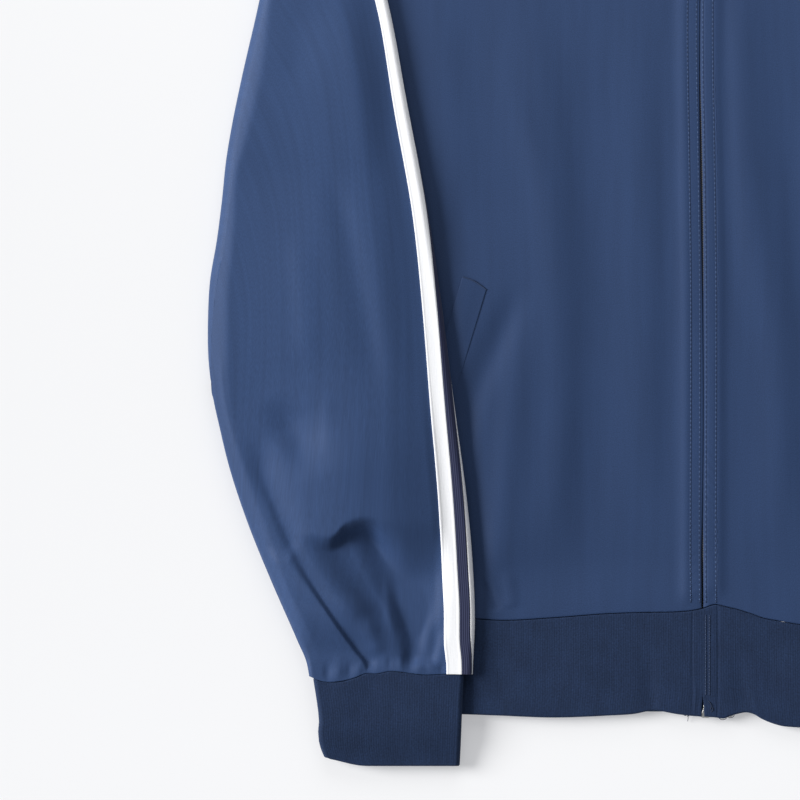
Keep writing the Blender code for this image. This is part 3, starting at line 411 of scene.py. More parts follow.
ROLL_STEPS = 7
LEAST_ALIKE = 0.02           # share of a roll's size that is left where the cloth faces away


def roll(grid, out, edge, radius, turn=180.0, tuck=4.0, flat=False):
    """Turns a grid's edge under, round a radius, and tucks the cloth straight on after the turn.

    flat leaves out the places that face another way than most, such as those of an earlier roll.
    """
    by_rows = edge in ("bottom", "top")
    first = edge in ("bottom", "left")
    way = (lambda a: a) if by_rows else (lambda a: a.swapaxes(0, 1))
    flip = (lambda a: a[::-1]) if first else (lambda a: a)
    sheet, normal = flip(way(grid)), flip(way(out))[-1]
    kept = len(sheet) - 1
    while np.linalg.norm(sheet[-1] - sheet[kept - 1], axis=1).min() < radius:
        kept -= 1            # rows closer to the edge than the turn would lie folded back
    sheet = np.concatenate([sheet[:kept], sheet[-1:]])
    outer = unit(sheet[-1] - sheet[-2])
    if flat:
        alike = np.clip(normal @ unit(normal.mean(axis=0)), LEAST_ALIKE, 1)[:, None]
        radius, tuck = radius * alike, tuck * alike
    base = sheet[-1] - outer * radius
    sheet[-1] = base
    added = []
    for angle in np.radians(np.linspace(0, turn, ROLL_STEPS)[1:]):
        added.append(base + outer * radius * np.sin(angle) - normal * radius * (1 - np.cos(angle)))
    onward = outer * np.cos(radians(turn)) - normal * np.sin(radians(turn))
    added.append(added[-1] + onward * tuck)
    return way(flip(np.concatenate([sheet, np.array(added)])))


def rolled(grid, up_at, edges, **how):
    """Turns several edges under in turn: each one's name, radius, degrees of turn and tuck."""
    for edge, radius, turn, tuck in edges:
        grid = roll(grid, outward(grid, False, up_at), edge, radius, turn, tuck, **how)
    return grid


def doubled(grid, out, wall, inner):
    """Folded band: the outer face, round its last row, and back down through the inner face's rows."""
    around = []
    step = unit(grid[-1] - grid[-2])
    middle = grid[-1] - out[-1] * wall / 2 - step * wall / 2
    for angle in np.radians(np.linspace(90, -90, ROLL_STEPS)):
        around.append(middle + out[-1] * wall / 2 * np.sin(angle) + step * wall / 2 * np.cos(angle))
    return np.concatenate([grid[:-1], around, inner])


# A thread's rings: place along half its length, share of its radius, share of its lift
THREAD_RINGS = np.array([(-1, 0.45, -1), (-0.7, 0.9, 0.5), (0, 1, 1), (0.7, 0.9, 0.5), (1, 0.45, -1)])
THREAD_SIDES = 6
THREAD_FLAT = 0.8            # a thread's height as a share of its width


def ring_faces(rings, sides):
    """Faces of a closed tube of rings, with its two ends."""
    faces = [(i * sides + k, i * sides + (k + 1) % sides, (i + 1) * sides + (k + 1) % sides,
              (i + 1) * sides + k) for i in range(rings - 1) for k in range(sides)]
    return faces + [tuple(range(sides - 1, -1, -1)), tuple(range((rings - 1) * sides, rings * sides))]


def capsules(centres, along, up, long, radius, lift):
    """Corners and faces of many small threads, each bowed up by lift and sunk at its ends."""
    turns = np.linspace(0, 2 * pi, THREAD_SIDES + 1)[:-1]
    beside = unit(np.cross(along, up))
    rings = []
    for far, wide, bow in THREAD_RINGS:
        middle = centres + along * (far * long / 2) + up * (bow * lift)
        for t in turns:
            rings.append(middle + (beside * np.cos(t) + up * np.sin(t) * THREAD_FLAT) * (radius * wide))
    corners = np.stack(rings, axis=1)
    count = corners.shape[1]
    pattern = ring_faces(len(THREAD_RINGS), THREAD_SIDES)
    faces = [tuple(n * count + k for k in face) for n in range(len(centres)) for face in pattern]
    return corners.reshape(-1, 3), faces


def joined(parts):
    """Corners and faces of several meshes as those of one."""
    corners, faces = [], []
    total = 0
    for made, pattern in parts:
        corners.append(made)
        faces += [tuple(total + k for k in face) for face in pattern]
        total += len(made)
    return np.concatenate(corners), faces


def sewing(name, rows, finishes):
    """Rows of stitches in one mesh, with painted shade at the needle holes between them. Each row is its
    points, normals and pitch.
    """
    chance = np.random.default_rng(7)
    parts = []
    for points, up, pitch in rows:
        along = np.concatenate([[0], np.cumsum(np.linalg.norm(np.diff(points, axis=0), axis=1))])
        count = int(along[-1] / pitch)
        middle = (np.arange(count) + 0.5) * pitch + chance.normal(0, STITCH_CHANCE, count)

        def at(values, where):
            return np.column_stack([np.interp(where, along, values[:, k]) for k in range(3)])

        step = unit(at(points, middle + STITCH_REACH) - at(points, middle - STITCH_REACH))
        normal = unit(at(up, middle))
        lean = np.cross(step, normal) * chance.normal(STITCH_LEAN, STITCH_CHANCE, count)[:, None]
        parts.append(capsules(at(points, middle), unit(step + lean), normal, STITCH_LONG, THREAD,
                              STITCH_BOW))
        # dark capsules between the stitches: painted shade of the needle holes
        between = np.arange(count) * pitch
        hole = at(points, between) + at(up, between) * HOLE_RISE
        parts.append(capsules(hole, step, normal, HOLE_LONG, HOLE_RADIUS, 0.0))
    corners, faces = joined(parts)
    made = new_object(name, place(corners), faces, finishes)
    # every second part, the needle holes, takes the second finish: their painted shade
    dark = [k % 2 for k, (_, pattern) in enumerate(parts) for _ in pattern]
    made.data.polygons.foreach_set("material_index", dark)
    return made


def tube(points, radius, sides=6):
    """Corners and faces of a round thread along points."""
    points = np.array(points, float)
    step = unit(np.gradient(points, axis=0))
    beside = unit(np.cross(step, (0.3, 0.2, 1.0)))
    above = np.cross(beside, step)
    turns = np.linspace(0, 2 * pi, sides + 1)[:-1]
    rings = [[p + (b * np.cos(t) + a * np.sin(t)) * radius for t in turns]
             for p, b, a in zip(points, beside, above)]
    return np.array(rings).reshape(-1, 3), ring_faces(len(points), sides)


# ---------------------------------------------------------------- body

# A front's form: distances from its edges over which it climbs to the rib, to the collar and to the
# placket over the zip, and over which the placket ends at the rib
HEM_CLIMB = (36, 2)
NECK_CLIMB = (34, 4)
PLACKET_CLIMB = (17, 9.5)
PLACKET_END = (1, 14)
# the groove that a row of topstitching presses, and the fine puckers between the rows: distances
# from the hem seam over which they set in, and how the puckers repeat along the zip
GROOVE_DEEP = 0.14
GROOVE_HALF = 0.9
GROOVE_START = (2, 12)
PUCKER_START = (2, 8)
PUCKER_LONG = 1.1
PUCKER_SLANT = 1.6
PUCKER_DRIFT = 17
PUCKER_BEAT = 37
PUCKER_DEEP = 0.07
LEFT_PUCKERS = 0.15          # how much deeper the left front's are, below these heights
LEFT_PUCKERS_AT = (210, 150)
LEFT_SINK = 0.7              # how far the left front's edge sinks at the zip's slot
# distances from the hem seam and from the zip over which a front's folds set in
FOLDS_FROM_HEM = (0.5, 9)
FOLDS_FROM_ZIP = (9, 30)


def puckers(off, height, side):
    """Rise of the fine puckers between the two rows of topstitching."""
    inner, outer = (row[0] for row in ZIP_ROWS[side])
    between = smooth_step(inner, inner + 2, off) * smooth_step(outer + 1, outer - 2, off)
    drift = 2 * np.sin(height / PUCKER_DRIFT)
    wave = np.sin(height / PUCKER_LONG + off / PUCKER_SLANT + drift) * np.sin(height / PUCKER_BEAT + side)
    deep = PUCKER_DEEP + LEFT_PUCKERS * max(side, 0) * smooth_step(*LEFT_PUCKERS_AT, height)
    return deep * between * wave


def front_form(x, height, side):
    """Level of a front's outer face, with its folds, the placket over the zip and its stitch lines."""
    across = np.abs(x)
    off = np.abs(x - zip_across(height))
    to_seam = height - hem_seam(x)
    level = mix(FRONT_TOP, SEWN_TOP, smooth_step(*HEM_CLIMB, to_seam))
    level = mix(level, SEWN_TOP, smooth_step(*NECK_CLIMB, front_neckline(across) - height))
    placket = smooth_step(*PLACKET_CLIMB, off) * smooth_step(*PLACKET_END, to_seam)
    level = level + (PLACKET_TOP - FRONT_TOP) * placket
    for row, _ in ZIP_ROWS[side]:
        groove = np.exp(-((off - row) / GROOVE_HALF)**2)
        level = level - GROOVE_DEEP * groove * smooth_step(*GROOVE_START, to_seam)
    level = level + puckers(off, height, side) * smooth_step(*PUCKER_START, to_seam)
    level = level - max(side, 0) * LEFT_SINK * np.exp(-(off / 2)**2)
    clear = smooth_step(*FOLDS_FROM_HEM, to_seam) * smooth_step(*FOLDS_FROM_ZIP, off)
    return level + folds_on(FRONT_FOLDS[side], across, height) * clear


def panel(left, right, bottom, top, shares, rises):
    """Patch between four edges: points at shares across, a row for each entry of rises."""
    rows = []
    for k, rise in enumerate(rises):
        chord = mix(left[k], right[k], shares[:, None])
        low = bottom - mix(left[0], right[0], shares[:, None])
        high = top - mix(left[-1], right[-1], shares[:, None])
        rows.append(chord + (1 - rise) * low + rise * high)
    return np.array(rows)


def outer_line(front, side_shares, raglan_shares):
    """Side seam from the rib to the armpit, then the raglan seam up to the neckline."""
    low = route(SIDE, side_shares) - (SEAM, 0)
    ahead = raglan(np.clip(raglan_shares + 0.01, 0, 1), front)
    behind = raglan(np.clip(raglan_shares - 0.01, 0, 1), front)
    along = ahead - behind
    normal = np.column_stack([along[:, 1], -along[:, 0]])
    return np.vstack([low, raglan(raglan_shares, front) + SEAM * unit(normal)])


def panel_rows(below, above, armpit):
    """A panel's rows below and above its armpit, which lies at a share of its height.

    Their shares along the side seam, their shares along the raglan seam, and how far each is up.
    """
    side_shares, raglan_shares = np.linspace(0, 1, below)[:-1], np.linspace(1, 0, above)
    return side_shares, raglan_shares, np.concatenate([side_shares * armpit, np.linspace(armpit, 1, above)])


# columns of a front's points beside the zip, and the rows of both panels
NEAR_ZIP = np.arange(0, 13, 0.42)
FAR_COLUMNS = 96
FRONT_ROWS = (171, 86, 0.52)
BACK_ROWS = (31, 41, 0.47)
BACK_COLUMNS = 61
# how a front sinks to the side seam: share of its width, and heights over which that ends upwards
# and sets in from the rib
SIDE_SINK = (0.93, 1)
SIDE_SINK_END = (325, 300)
SIDE_SINK_START = (70, 90)
# how the edges are turned under: edge, radius, degrees, tuck
FRONT_EDGES = (("bottom", 0.7, 180, 5), ("top", 0.6, 180, 5), ("left", 0.55, 180, 9),
               ("right", 0.6, 180, 5))


def front_grid(side):
    """Points of one front, from the zip to the side and raglan seams."""
    near = NEAR_ZIP / HEM_HALF
    shares = np.concatenate([near, np.linspace(near[-1], 1, FAR_COLUMNS)[1:]])
    side_shares, raglan_shares, rises = panel_rows(*FRONT_ROWS)
    right = outer_line(True, side_shares, raglan_shares)
    low = float(hem_seam(side * 0.5)) + SEAM
    heights = mix(low, FRONT_NECK - 2 * SEAM, rises)
    left = np.column_stack([curve(ZIP_SLOT, heights) + side * zip_across(heights), heights])
    along = mix(left[0][0], HEM_HALF - RIB_TOP / 2, shares)
    along[-1] = right[0][0]
    bottom = np.column_stack([along, hem_seam(side * along) + SEAM])
    right[0], left[0] = bottom[-1], bottom[0]
    neck = mix(left[-1][0], right[-1][0], shares)
    top = np.column_stack([neck, front_neckline(neck) - 2 * SEAM])
    right[-1] = top[-1]
    plan = panel(left, right, bottom, top, shares, rises)
    across, height = plan[..., 0], plan[..., 1]
    sink = smooth_step(*SIDE_SINK, shares)[None, :] * smooth_step(*SIDE_SINK_END, height)
    sink = sink * smooth_step(*SIDE_SINK_START, height)
    level = mix(front_form(side * across, height, side), SIDE_TOP, sink)
    return np.dstack([side * across, height, level])


def make_front(side, finish):
    """Front panel, its placket folded back at the zip."""
    name = word(side)
    grid = rolled(front_grid(side), (40, 40), FRONT_EDGES, flat=True)
    made = skin(f"front_{name}_cloth", grid, finish, facing_up=(40, 40))
    dress(made, f"front_{name}")


def make_back(finish):
    """The back's outer face, down on the surface, its edges rolled up."""
    shares = np.linspace(0, 1, BACK_COLUMNS)
    side_shares, raglan_shares, rises = panel_rows(*BACK_ROWS)
    right = outer_line(False, side_shares, raglan_shares)
    right[0] = (HEM_HALF, BACK_SEAM + SEAM)
    left = right * (-1, 1)
    bottom = np.column_stack([mix(-HEM_HALF, HEM_HALF, shares), np.full(BACK_COLUMNS, BACK_SEAM + SEAM)])
    neck = mix(left[-1][0], right[-1][0], shares)
    top = np.column_stack([neck, back_neckline(neck) - 2 * SEAM])
    right[-1], left[-1] = top[-1], top[0]
    plan = panel(left, right, bottom, top, shares, rises)
    grid = np.dstack([plan, np.zeros(plan.shape[:2])])
    for edge in ("bottom", "top", "left", "right"):
        grid = roll(grid, -outward(grid, False, (20, 20)), edge, TRICOT / 2, tuck=6, flat=True)
    made = skin("back_cloth", grid[::-1], finish, facing_up=(20, 20))
    made.data.flip_normals()
    dress(made, "back")


def wales(run, pitch, deep):
    """Rise of a knit's ribs at distances across them."""
    return deep * (np.abs(np.cos(pi * run / pitch)) - 0.5)


def flat_band(half, front_steps, back_steps):
    """Columns of a flattened band open in front: place across, level and how far in front (0 to 1)."""
    flat = np.linspace(0, half, front_steps)
    turn = np.linspace(pi / 2, -pi / 2, 13)[1:-1]
    front = [(a, 1.0, 1.0) for a in flat]
    arc = [(half + RIB_TOP / 2 * np.cos(t), 0.5 + 0.5 * np.sin(t), 0.5 + 0.5 * np.sin(t)) for t in turn]
    back = [(x, 0.0, 0.0) for x in np.linspace(-half, half, back_steps)]
    left = front + arc
    right = [(-a, level, share) for a, level, share in left]
    return np.array(right + back + left[::-1])


def rib_columns(grid, deep):
    """The band's knit ribs, raised on its outer face along the middle row."""
    row = grid[len(grid) // 2]
    run = np.concatenate([[0], np.cumsum(np.linalg.norm(np.diff(row, axis=0), axis=1))])
    return wales(run, RIB_PITCH, deep)


def halves(columns):
    """-1 for a band's first half, which runs from the zip round the wearer's right, and 1 for the rest."""
    return np.where(np.arange(columns) < columns / 2, -1, 1)


RIB_PITCH = 1.5
RIB_DEEP = 0.1
# rows of a rib's points from its seam to its fold, and the rows back up inside that each rib keeps
RIB_ROWS = np.array([0, 0.03, 0.08, 0.16, 0.27, 0.4, 0.53, 0.66, 0.78, 0.86, 0.92, 0.97, 1])
HEM_INSIDE = [9, 5, 2, 0]
CUFF_INSIDE = [10, 6, 2, 0]
COLLAR_INSIDE = np.arange(11, -1, -1)
HEM_STEPS = (610, 160)       # columns along half the front, and along the back
COLLAR_STEPS = (220, 300)
CUFF_STEPS = (240, 50)       # columns along a cuff's upper layer, and along its lower one
SEAM_EDGE = 0.8              # radius of the turn at a rib's seam, and at the hem rib's ends
END_EDGE = 0.7
HEM_SLOT = (0.5, 1.3)        # how far each end of the hem rib laps over the zip's line, and how far
HEM_SLOT_AT = (15, 2)        # it draws back over these heights
COLLAR_SLOT = (0.8, 4.4)     # half the opening between the collar's ends, and how much it widens
COLLAR_SLOT_AT = (580, 592)  # over these heights
COLLAR_PULL = 45             # how far from the zip that opening pushes the knit aside
COLLAR_LEAN = 0.05           # share by which the collar is narrower at its upper edge


def make_hem_rib(finish):
    """Rib band round the lower edge, folded at the bottom and open at the zip."""
    half = HEM_HALF - RIB_TOP / 2
    x, level, front = flat_band(half, *HEM_STEPS).T
    pull = 1 - np.abs(x) / half
    rows = []
    for share in RIB_ROWS:
        at_zip = mix(float(hem_seam(0)), float(hem_edge(0)), share)
        slot = HEM_SLOT[1] * smooth_step(*HEM_SLOT_AT, at_zip) - HEM_SLOT[0]
        across = np.where(front == 1, x + (zip_across(at_zip) + halves(len(x)) * slot) * pull, x)
        in_front = mix(hem_seam(across), hem_edge(across), share)
        height = mix(mix(BACK_SEAM, BACK_HEM, share), in_front, front)
        rows.append(np.column_stack([across, height, level * RIB_TOP]))
    grid = np.array(rows)
    out = outward(grid, False, (1, 40))
    press = folds_on([*RIB_LINES, *RIB_FOLDS], grid[..., 0], grid[..., 1]) * (front == 1)
    raised = press + rib_columns(grid, RIB_DEEP)[None, :] * (level > 0)
    grid = doubled(grid + out * raised[..., None], out, RIB, (grid - out * RIB)[HEM_INSIDE])
    grid = rolled(grid, (9, 40), [("bottom", SEAM_EDGE, 100, 0.5)])
    grid = rolled(grid, (9, 40), [("left", END_EDGE, 150, 0.5), ("right", END_EDGE, 150, 0.5)], flat=True)
    made = skin("hem_rib_knit", grid, finish, facing_up=(16, 60))
    dress(made, "hem_rib")


# pressed lines of the rib beside the zip, and its soft folds, with the columns of SLEEVE_FOLDS
RIB_LINES = [
    ([(-5.9, 66), (-6.2, 30), (-6.0, 0)], -0.22, (0.6, 0.6), (0.6, 0.6), 0.01, 0.01),
    ([(-4.4, 24), (-4.2, 10), (-4.4, 0)], 0.2, (0.5, 0.5), (0.5, 0.5), 0.3, 0.01),
    ([(10.0, 69), (10.3, 30), (9.8, -2)], -0.25, (0.6, 0.6), (0.6, 0.6), 0.01, 0.01),
    ([(2.3, 60), (2.3, 30), (2.5, 8)], -0.12, (0.8, 0.8), (0.8, 0.8), 0.05, 0.2),
    ([(5.0, 60), (5.0, 30), (4.8, 8)], -0.12, (0.8, 0.8), (0.8, 0.8), 0.05, 0.2),
]
RIB_FOLDS = [
    ([(-34, 40), (-32, 14), (-31, 2)], -0.6, (4, 4), (7, 7), 0.5, 0.05),
    ([(-132, 52), (-127, 20), (-126, 0)], -0.4, (9, 9), (9, 9), 0.2, 0.2),
    ([(-70, 52), (-76, 20), (-84, 0)], 0.4, (20, 20), (16, 16), 0.2, 0.2),
    ([(22, 40), (25, 14), (28, 2)], -0.6, (5, 5), (6, 6), 0.5, 0.05),
    ([(58, 46), (66, 14), (74, -6)], 0.6, (16, 16), (14, 14), 0.2, 0.2),
]


def make_collar(finish):
    """Stand collar of folded rib, pressed flat, its front edges parting for the slider."""
    half = NECK[0] + 1.0 - RIB_TOP / 2
    x, level, front = flat_band(half, *COLLAR_STEPS).T
    near = np.minimum(np.abs(x), NECK[0])
    pull = 1 - np.clip(np.abs(x) / COLLAR_PULL, 0, 1)
    rows = []
    for share in RIB_ROWS:
        high = mix(COLLAR_SIDE, mix(COLLAR_BACK, COLLAR_HIGH, front), smooth_step(NECK[0], 20, near))
        height = mix(back_neckline(near), front_neckline(near), front) + 2 * SEAM + high * share
        slot = COLLAR_SLOT[0] + COLLAR_SLOT[1] * smooth_step(*COLLAR_SLOT_AT, height)
        across = np.where(front == 1, x + (zip_across(height) + halves(len(x)) * slot) * pull, x)
        rows.append(np.column_stack([across * (1 - COLLAR_LEAN * share), height, level * RIB_TOP]))
    grid = np.array(rows)
    out = outward(grid, False, (1, 40))
    ribs = rib_columns(grid, RIB_DEEP)
    inside = grid - out * (RIB - ribs[:, None])
    grid = doubled(grid + out * (ribs * (level > 0))[None, :, None], out, RIB, inside[COLLAR_INSIDE])
    grid = rolled(grid, (9, 40), [("bottom", SEAM_EDGE, 120, 0.4)])
    grid = rolled(grid, (9, 40), [("left", SEAM_EDGE, 150, 0.4), ("right", SEAM_EDGE, 150, 0.4)], flat=True)
    made = skin("collar_knit", grid, finish, facing_up=(16, 60))
    dress(made, "collar")


def make_welt(side, finish, dark):
    """Slanted pocket welt on the front, and a dark tube along its upper end: painted shade for the pocket's
    opening.
    """
    inner, outer = np.array(WELT_INNER), np.array(WELT_OUTER)
    shares, wide = np.linspace(0, 1, 70), np.linspace(0, 1, 16)
    start = inner + np.array(WELT_DOWN) * WELT_LONG * shares[:, None, None]
    plan = start + (outer - inner) * wide[None, :, None]
    across = plan[..., 0]
    height = plan[..., 1] + WELT_BOW * np.sin(pi * wide)[None, :] * (shares < 0.02)[:, None]
    rise = mix(*WELT_RISE, smooth_step(0, 0.35, shares))[:, None] * mix(0.4, 1, smooth_step(0, 0.8, wide))
    grid = np.dstack([side * across, height, front_form(side * across, height, side) + rise])
    grid = rolled(grid, (10, 8), WELT_EDGES, flat=True)
    made = skin(f"welt_{word(side)}_cloth", grid, finish, facing_up=(20, 10))
    dress(made, f"welt_{word(side)}")
    # painted shade: a thin dark tube where the pocket's opening lies in shadow
    corners, faces = tube(grid[6, 5:-5] + (side * -0.1, 0.35, -0.15), OPENING_SHADE_RADIUS)
    opening_shade = new_object(f"pocket_{word(side)}_mouth", place(corners), faces, [dark])
    dress(opening_shade, f"welt_{word(side)}")


WELT_INNER = (136.0, 266.5)
WELT_OUTER = (151.0, 274.7)
WELT_DOWN = (0.2875, -0.958)
WELT_LONG = 150.0
WELT_BOW = 1.2               # how far its upper edge bows up
WELT_RISE = (1.25, 0.75)     # how far it stands over the front, at its upper end and lower down
WELT_EDGES = (("bottom", 0.35, 90, 0.9), ("top", 0.3, 90, 0.6), ("left", 0.3, 90, 0.5),
              ("right", 0.3, 90, 0.6))
# radius of the dark tube that paints the shade of the pocket's opening
OPENING_SHADE_RADIUS = 0.42


# ---------------------------------------------------------------- sleeves

def fold_line(share):
    """The fold's hinge, the outward direction there and its radius."""
    edge = route(FOLD_EDGE, share)
    step = route(FOLD_EDGE, np.clip(share + 0.01, 0, 1)) - route(FOLD_EDGE, np.clip(share - 0.01, 0, 1))
    out = unit(np.column_stack([-step[:, 1], step[:, 0]]))
    radius = curve(FOLD_RADIUS, share)
    return edge - out * radius[:, None], out, radius


HINGE_TOP, HINGE_LOW = fold_line(np.array([0.0, 1.0]))[0]
SHOULDER_LINE = [*SHOULDER, tuple(HINGE_TOP)]
UNDERARM_LINE = [*UNDERARM, tuple(HINGE_LOW)]
INNER_LINE = [tuple(HINGE_TOP), *INNER_EDGE]
OUTER_LINE = [tuple(HINGE_LOW), *OUTER_EDGE]
FOLD_LENGTH = line_length(FOLD_EDGE)
INNER_LENGTH = line_length(INNER_LINE)
OUTER_LENGTH = line_length(OUTER_LINE)


# where the body's side carries a folded sleeve: height, across; past it the sleeve sinks to the
# surface over these distances, and a cuff's rise on the rib sets in over these heights
CARRIED = [(-60, 238), (62, 240), (150, 262), (190, 280), (215, 306), (240, 330), (700, 330)]
SINK_AWAY = (3, 26)
RIB_RISE = (95, 66)
NECK_THICKENING = (95, 20)   # distances from the neck's corner over which a sleeve thickens to the rib


def rest_level(across, height):
    """Level that a folded sleeve's underside rests at."""
    body = mix(SLEEVE_REST, CUFF_REST, smooth_step(*RIB_RISE, height))
    return mix(body, FLOOR_REST, smooth_step(*SINK_AWAY, across - curve(CARRIED, height)))


def flat_thickness(across, height):
    near = np.hypot(across - NECK[0], height - NECK[1])
    return mix(FLAT_SLEEVE, SEWN_TOP, smooth_step(*NECK_THICKENING, near))


def from_edge(around, radius):
    """Distance round the inner edge to a place: distance from the edge, and depth (0 to 1)."""
    quarter = pi / 2 * radius
    angle = np.clip(around / radius, -pi / 2, pi / 2)
    on_flat = radius + np.abs(around) - quarter
    away = np.where(np.abs(around) < quarter, radius * (1 - np.cos(angle)), on_flat)
    return np.column_stack([away, 0.5 - 0.5 * np.sin(angle)])


def sleeve_columns(width, start, inner, outer, steps, slant=1.0):
    """Places round a sleeve: distance from the inner edge, and depth from its outer layer (0 to 1).

    slant is how much longer the way along the ring is than the way square to the inner edge.
    """
    tape, flats, turns, unders = steps
    quarter = pi / 2 * inner
    far = quarter + (width - outer) / slant - inner
    outer_run = start + WIDE_BAND + (far - start - WIDE_BAND) * flats[1:]
    low = start - MIDDLE_BAND - NARROW_BAND
    under_run = low - (low + far) * unders
    around = np.concatenate([start + tape, outer_run])
    turn = np.linspace(pi / 2, -pi / 2, turns + 1)[1:-1]
    arc = np.column_stack([width - outer * (1 - np.cos(turn)), 0.5 - 0.5 * np.sin(turn)])
    sides = from_edge(around, inner) * (slant, 1), from_edge(under_run[::-1], inner)[:-1] * (slant, 1)
    return np.vstack([sides[0], arc, sides[1]])


def rim_rise(aside, height):
    """How far the upper face has climbed at a distance from the sleeve's outer outline."""
    wide = curve(RIM_WIDE, height)
    t = np.clip(aside / wide, 0, 1)
    return RIM_SLOPE * wide * (t - t**5 / 5) + SLEEVE_CROWN * smooth_step(0, CROWN_WIDE, aside)


def neck_line(share, corner, front):
    """Sleeve's upper end: along the neckline as far as the corner share, then the raglan seam."""
    end = FRONT_RAGLAN_END if front else BACK_RAGLAN_END
    neckline = front_neckline if front else back_neckline
    across = mix(NECK[0], end, np.clip(share / corner, 0, 1))
    on_neck = np.column_stack([across, neckline(across)])
    on_seam = raglan(np.clip((share - corner) / (1 - corner), 0, 1), front)
    return np.where((share < corner)[:, None], on_neck, on_seam)


def patch(u, c, start, end, top, low):
    """Coons patch: start and end at the shares c, and the points of its two sides at u and their ends."""
    c = c[:, None]
    at_top, top0, top1 = top
    at_low, low0, low1 = low
    return (mix(start, end, u) + (1 - c) * (at_top - mix(top0, top1, u))
            + c * (at_low - mix(low0, low1, u)))


def tape_room(at):
    """How far the sleeve's outer layer is lifted where the tape lies between it and the surface."""
    beside = smooth_step(WIDE_BAND + 24, WIDE_BAND + 2, at[:, 0])
    return TAPE_ROOM * (1 - at[:, 1]) * beside


def slant_between(start, aside, ahead):
    """How slantwise the way from start to aside crosses the way from start to ahead."""
    first, second = unit(aside - start), unit(ahead - start)
    return 1 / abs(float(first[0] * second[1] - first[1] * second[0]))


def flat_part(u, steps):
    """Ring of the sleeve between the raglan seam (0) and the fold (1), lying on the surface."""
    one = np.array([u])
    top, low = route(SHOULDER_LINE, one)[0], route(UNDERARM_LINE, one)[0]
    width = mix(RAGLAN_LENGTH, FOLD_LENGTH, u)
    radius = float(flat_thickness(*top)) / 2
    slant = slant_between(top, low, route(SHOULDER_LINE, one + 0.01 if u < 0.9 else one - 0.01)[0])
    at = sleeve_columns(width, 0.5, radius, FLAT_SLEEVE / 2, steps, mix(slant, 1, smooth_step(0.7, 1, u)))
    share, depth = at[:, 0] / width, at[:, 1]
    tape, flats, _, unders = steps
    corners = sleeve_columns(RAGLAN_LENGTH, 0.5, float(flat_thickness(*NECK)) / 2, FLAT_SLEEVE / 2, steps)
    back_corner = corners[len(tape) - 1 + list(flats).index(NECK_SHARE), 0] / RAGLAN_LENGTH
    front_corner = corners[-list(unders).index(NECK_SHARE), 0] / RAGLAN_LENGTH
    hinge = fold_line(share)[0]
    plans = []
    for corner, front in ((back_corner, False), (front_corner, True)):
        begin = neck_line(share, corner, front)
        plans.append(patch(u, share, begin, hinge, (top, NECK, HINGE_TOP), (low, ARMPIT, HINGE_LOW)))
    plan = np.where(depth[:, None] < 0.5, plans[0], plans[1])
    level = depth * flat_thickness(plan[:, 0], plan[:, 1]) + tape_room(at)
    return np.column_stack([plan, level])


def bent_part(angle, steps):
    """Ring of the sleeve on the fold, at an angle from 0 to half a turn."""
    at = sleeve_columns(FOLD_LENGTH, 0.5, FLAT_SLEEVE / 2, FLAT_SLEEVE / 2, steps)
    hinge, out, radius = fold_line(at[:, 0] / FOLD_LENGTH)
    reach = radius - at[:, 1] * FLAT_SLEEVE - tape_room(at) * smooth_step(pi / 2, 0, angle)
    plan = hinge + out * (reach * np.sin(angle))[:, None]
    over = smooth_step(10, 70, at[:, 0]) * (1 - at[:, 1]) * (angle > pi / 2)
    rise = rim_rise(radius * (1 - np.sin(angle)), plan[:, 1]) * over
    return np.column_stack([plan, radius - reach * np.cos(angle) + rise])


def upper_plan(u, share):
    """Across and height of the folded part, a share of the way from the fold (0) to the seam (1)."""
    one = np.array([u])
    top, low = route(INNER_LINE, one)[0], route(OUTER_LINE, one)[0]
    seam = np.array([INNER_EDGE[-1], OUTER_EDGE[-1]], float)
    end = mix(seam[0], seam[1], share[:, None])
    end[:, 1] = curve(CUFF_SEAM, end[:, 0])
    return patch(u, share, fold_line(share)[0], end, (top, HINGE_TOP, seam[0]), (low, HINGE_LOW, seam[1]))


# A folded sleeve's thickness near its ends, and the distances from the fold or from the cuff seam
# over which its underside, its edge and its thickness change
CUFF_THINNING = (130, 10)
UNDER_FROM_FOLD = (0, 45)
UNDER_TO_CUFF = (30, 0)
EDGE_FROM_FOLD = (0, 60)


def upper_part(u, steps):
    """Ring of the sleeve from the fold (0) to the cuff seam (1), lying over the body.

    Columns: across, height, underside's level, edge's thickness, edge's level, depth, distances
    from the fold, from the cuff seam and from the inner and outer edges.
    """
    near = upper_plan(u, np.array([0, 0.04, 1]))
    ahead = upper_plan(u + 0.01 if u < 0.9 else u - 0.01, np.array([0.0]))[0]
    slant = mix(1, slant_between(near[0], near[1], ahead), smooth_step(0, 0.1, u))
    width = mix(FOLD_LENGTH, np.linalg.norm(near[2] - near[0]), smooth_step(0, 0.12, u))
    thick = mix(FLAT_SLEEVE, EDGE_SLEEVE, smooth_step(*PUFFING, u * INNER_LENGTH))
    thick = mix(thick, CUFF_THICK, smooth_step(*CUFF_THINNING, (1 - u) * INNER_LENGTH))
    start = float(curve(TAPE_START, near[0][1]))
    at = sleeve_columns(width, start, thick / 2, thick / 2, steps, slant)
    share, depth = at[:, 0] / width, at[:, 1]
    plan = upper_plan(u, share)
    fold = 2 * fold_line(share)[2]
    from_fold = u * mix(INNER_LENGTH, OUTER_LENGTH, share)
    from_seam = (1 - u) * mix(INNER_LENGTH, OUTER_LENGTH, share)
    under = mix(fold - FLAT_SLEEVE, rest_level(*plan.T), smooth_step(*UNDER_FROM_FOLD, from_fold))
    under = mix(under, CUFF_REST, smooth_step(*UNDER_TO_CUFF, from_seam))
    edge = mix(fold, SLEEVE_EDGE, smooth_step(*EDGE_FROM_FOLD, from_fold))
    return np.column_stack([plan, under, np.full(len(at), thick), edge, depth, from_fold, from_seam,
                            at[:, 0], width - at[:, 0]])


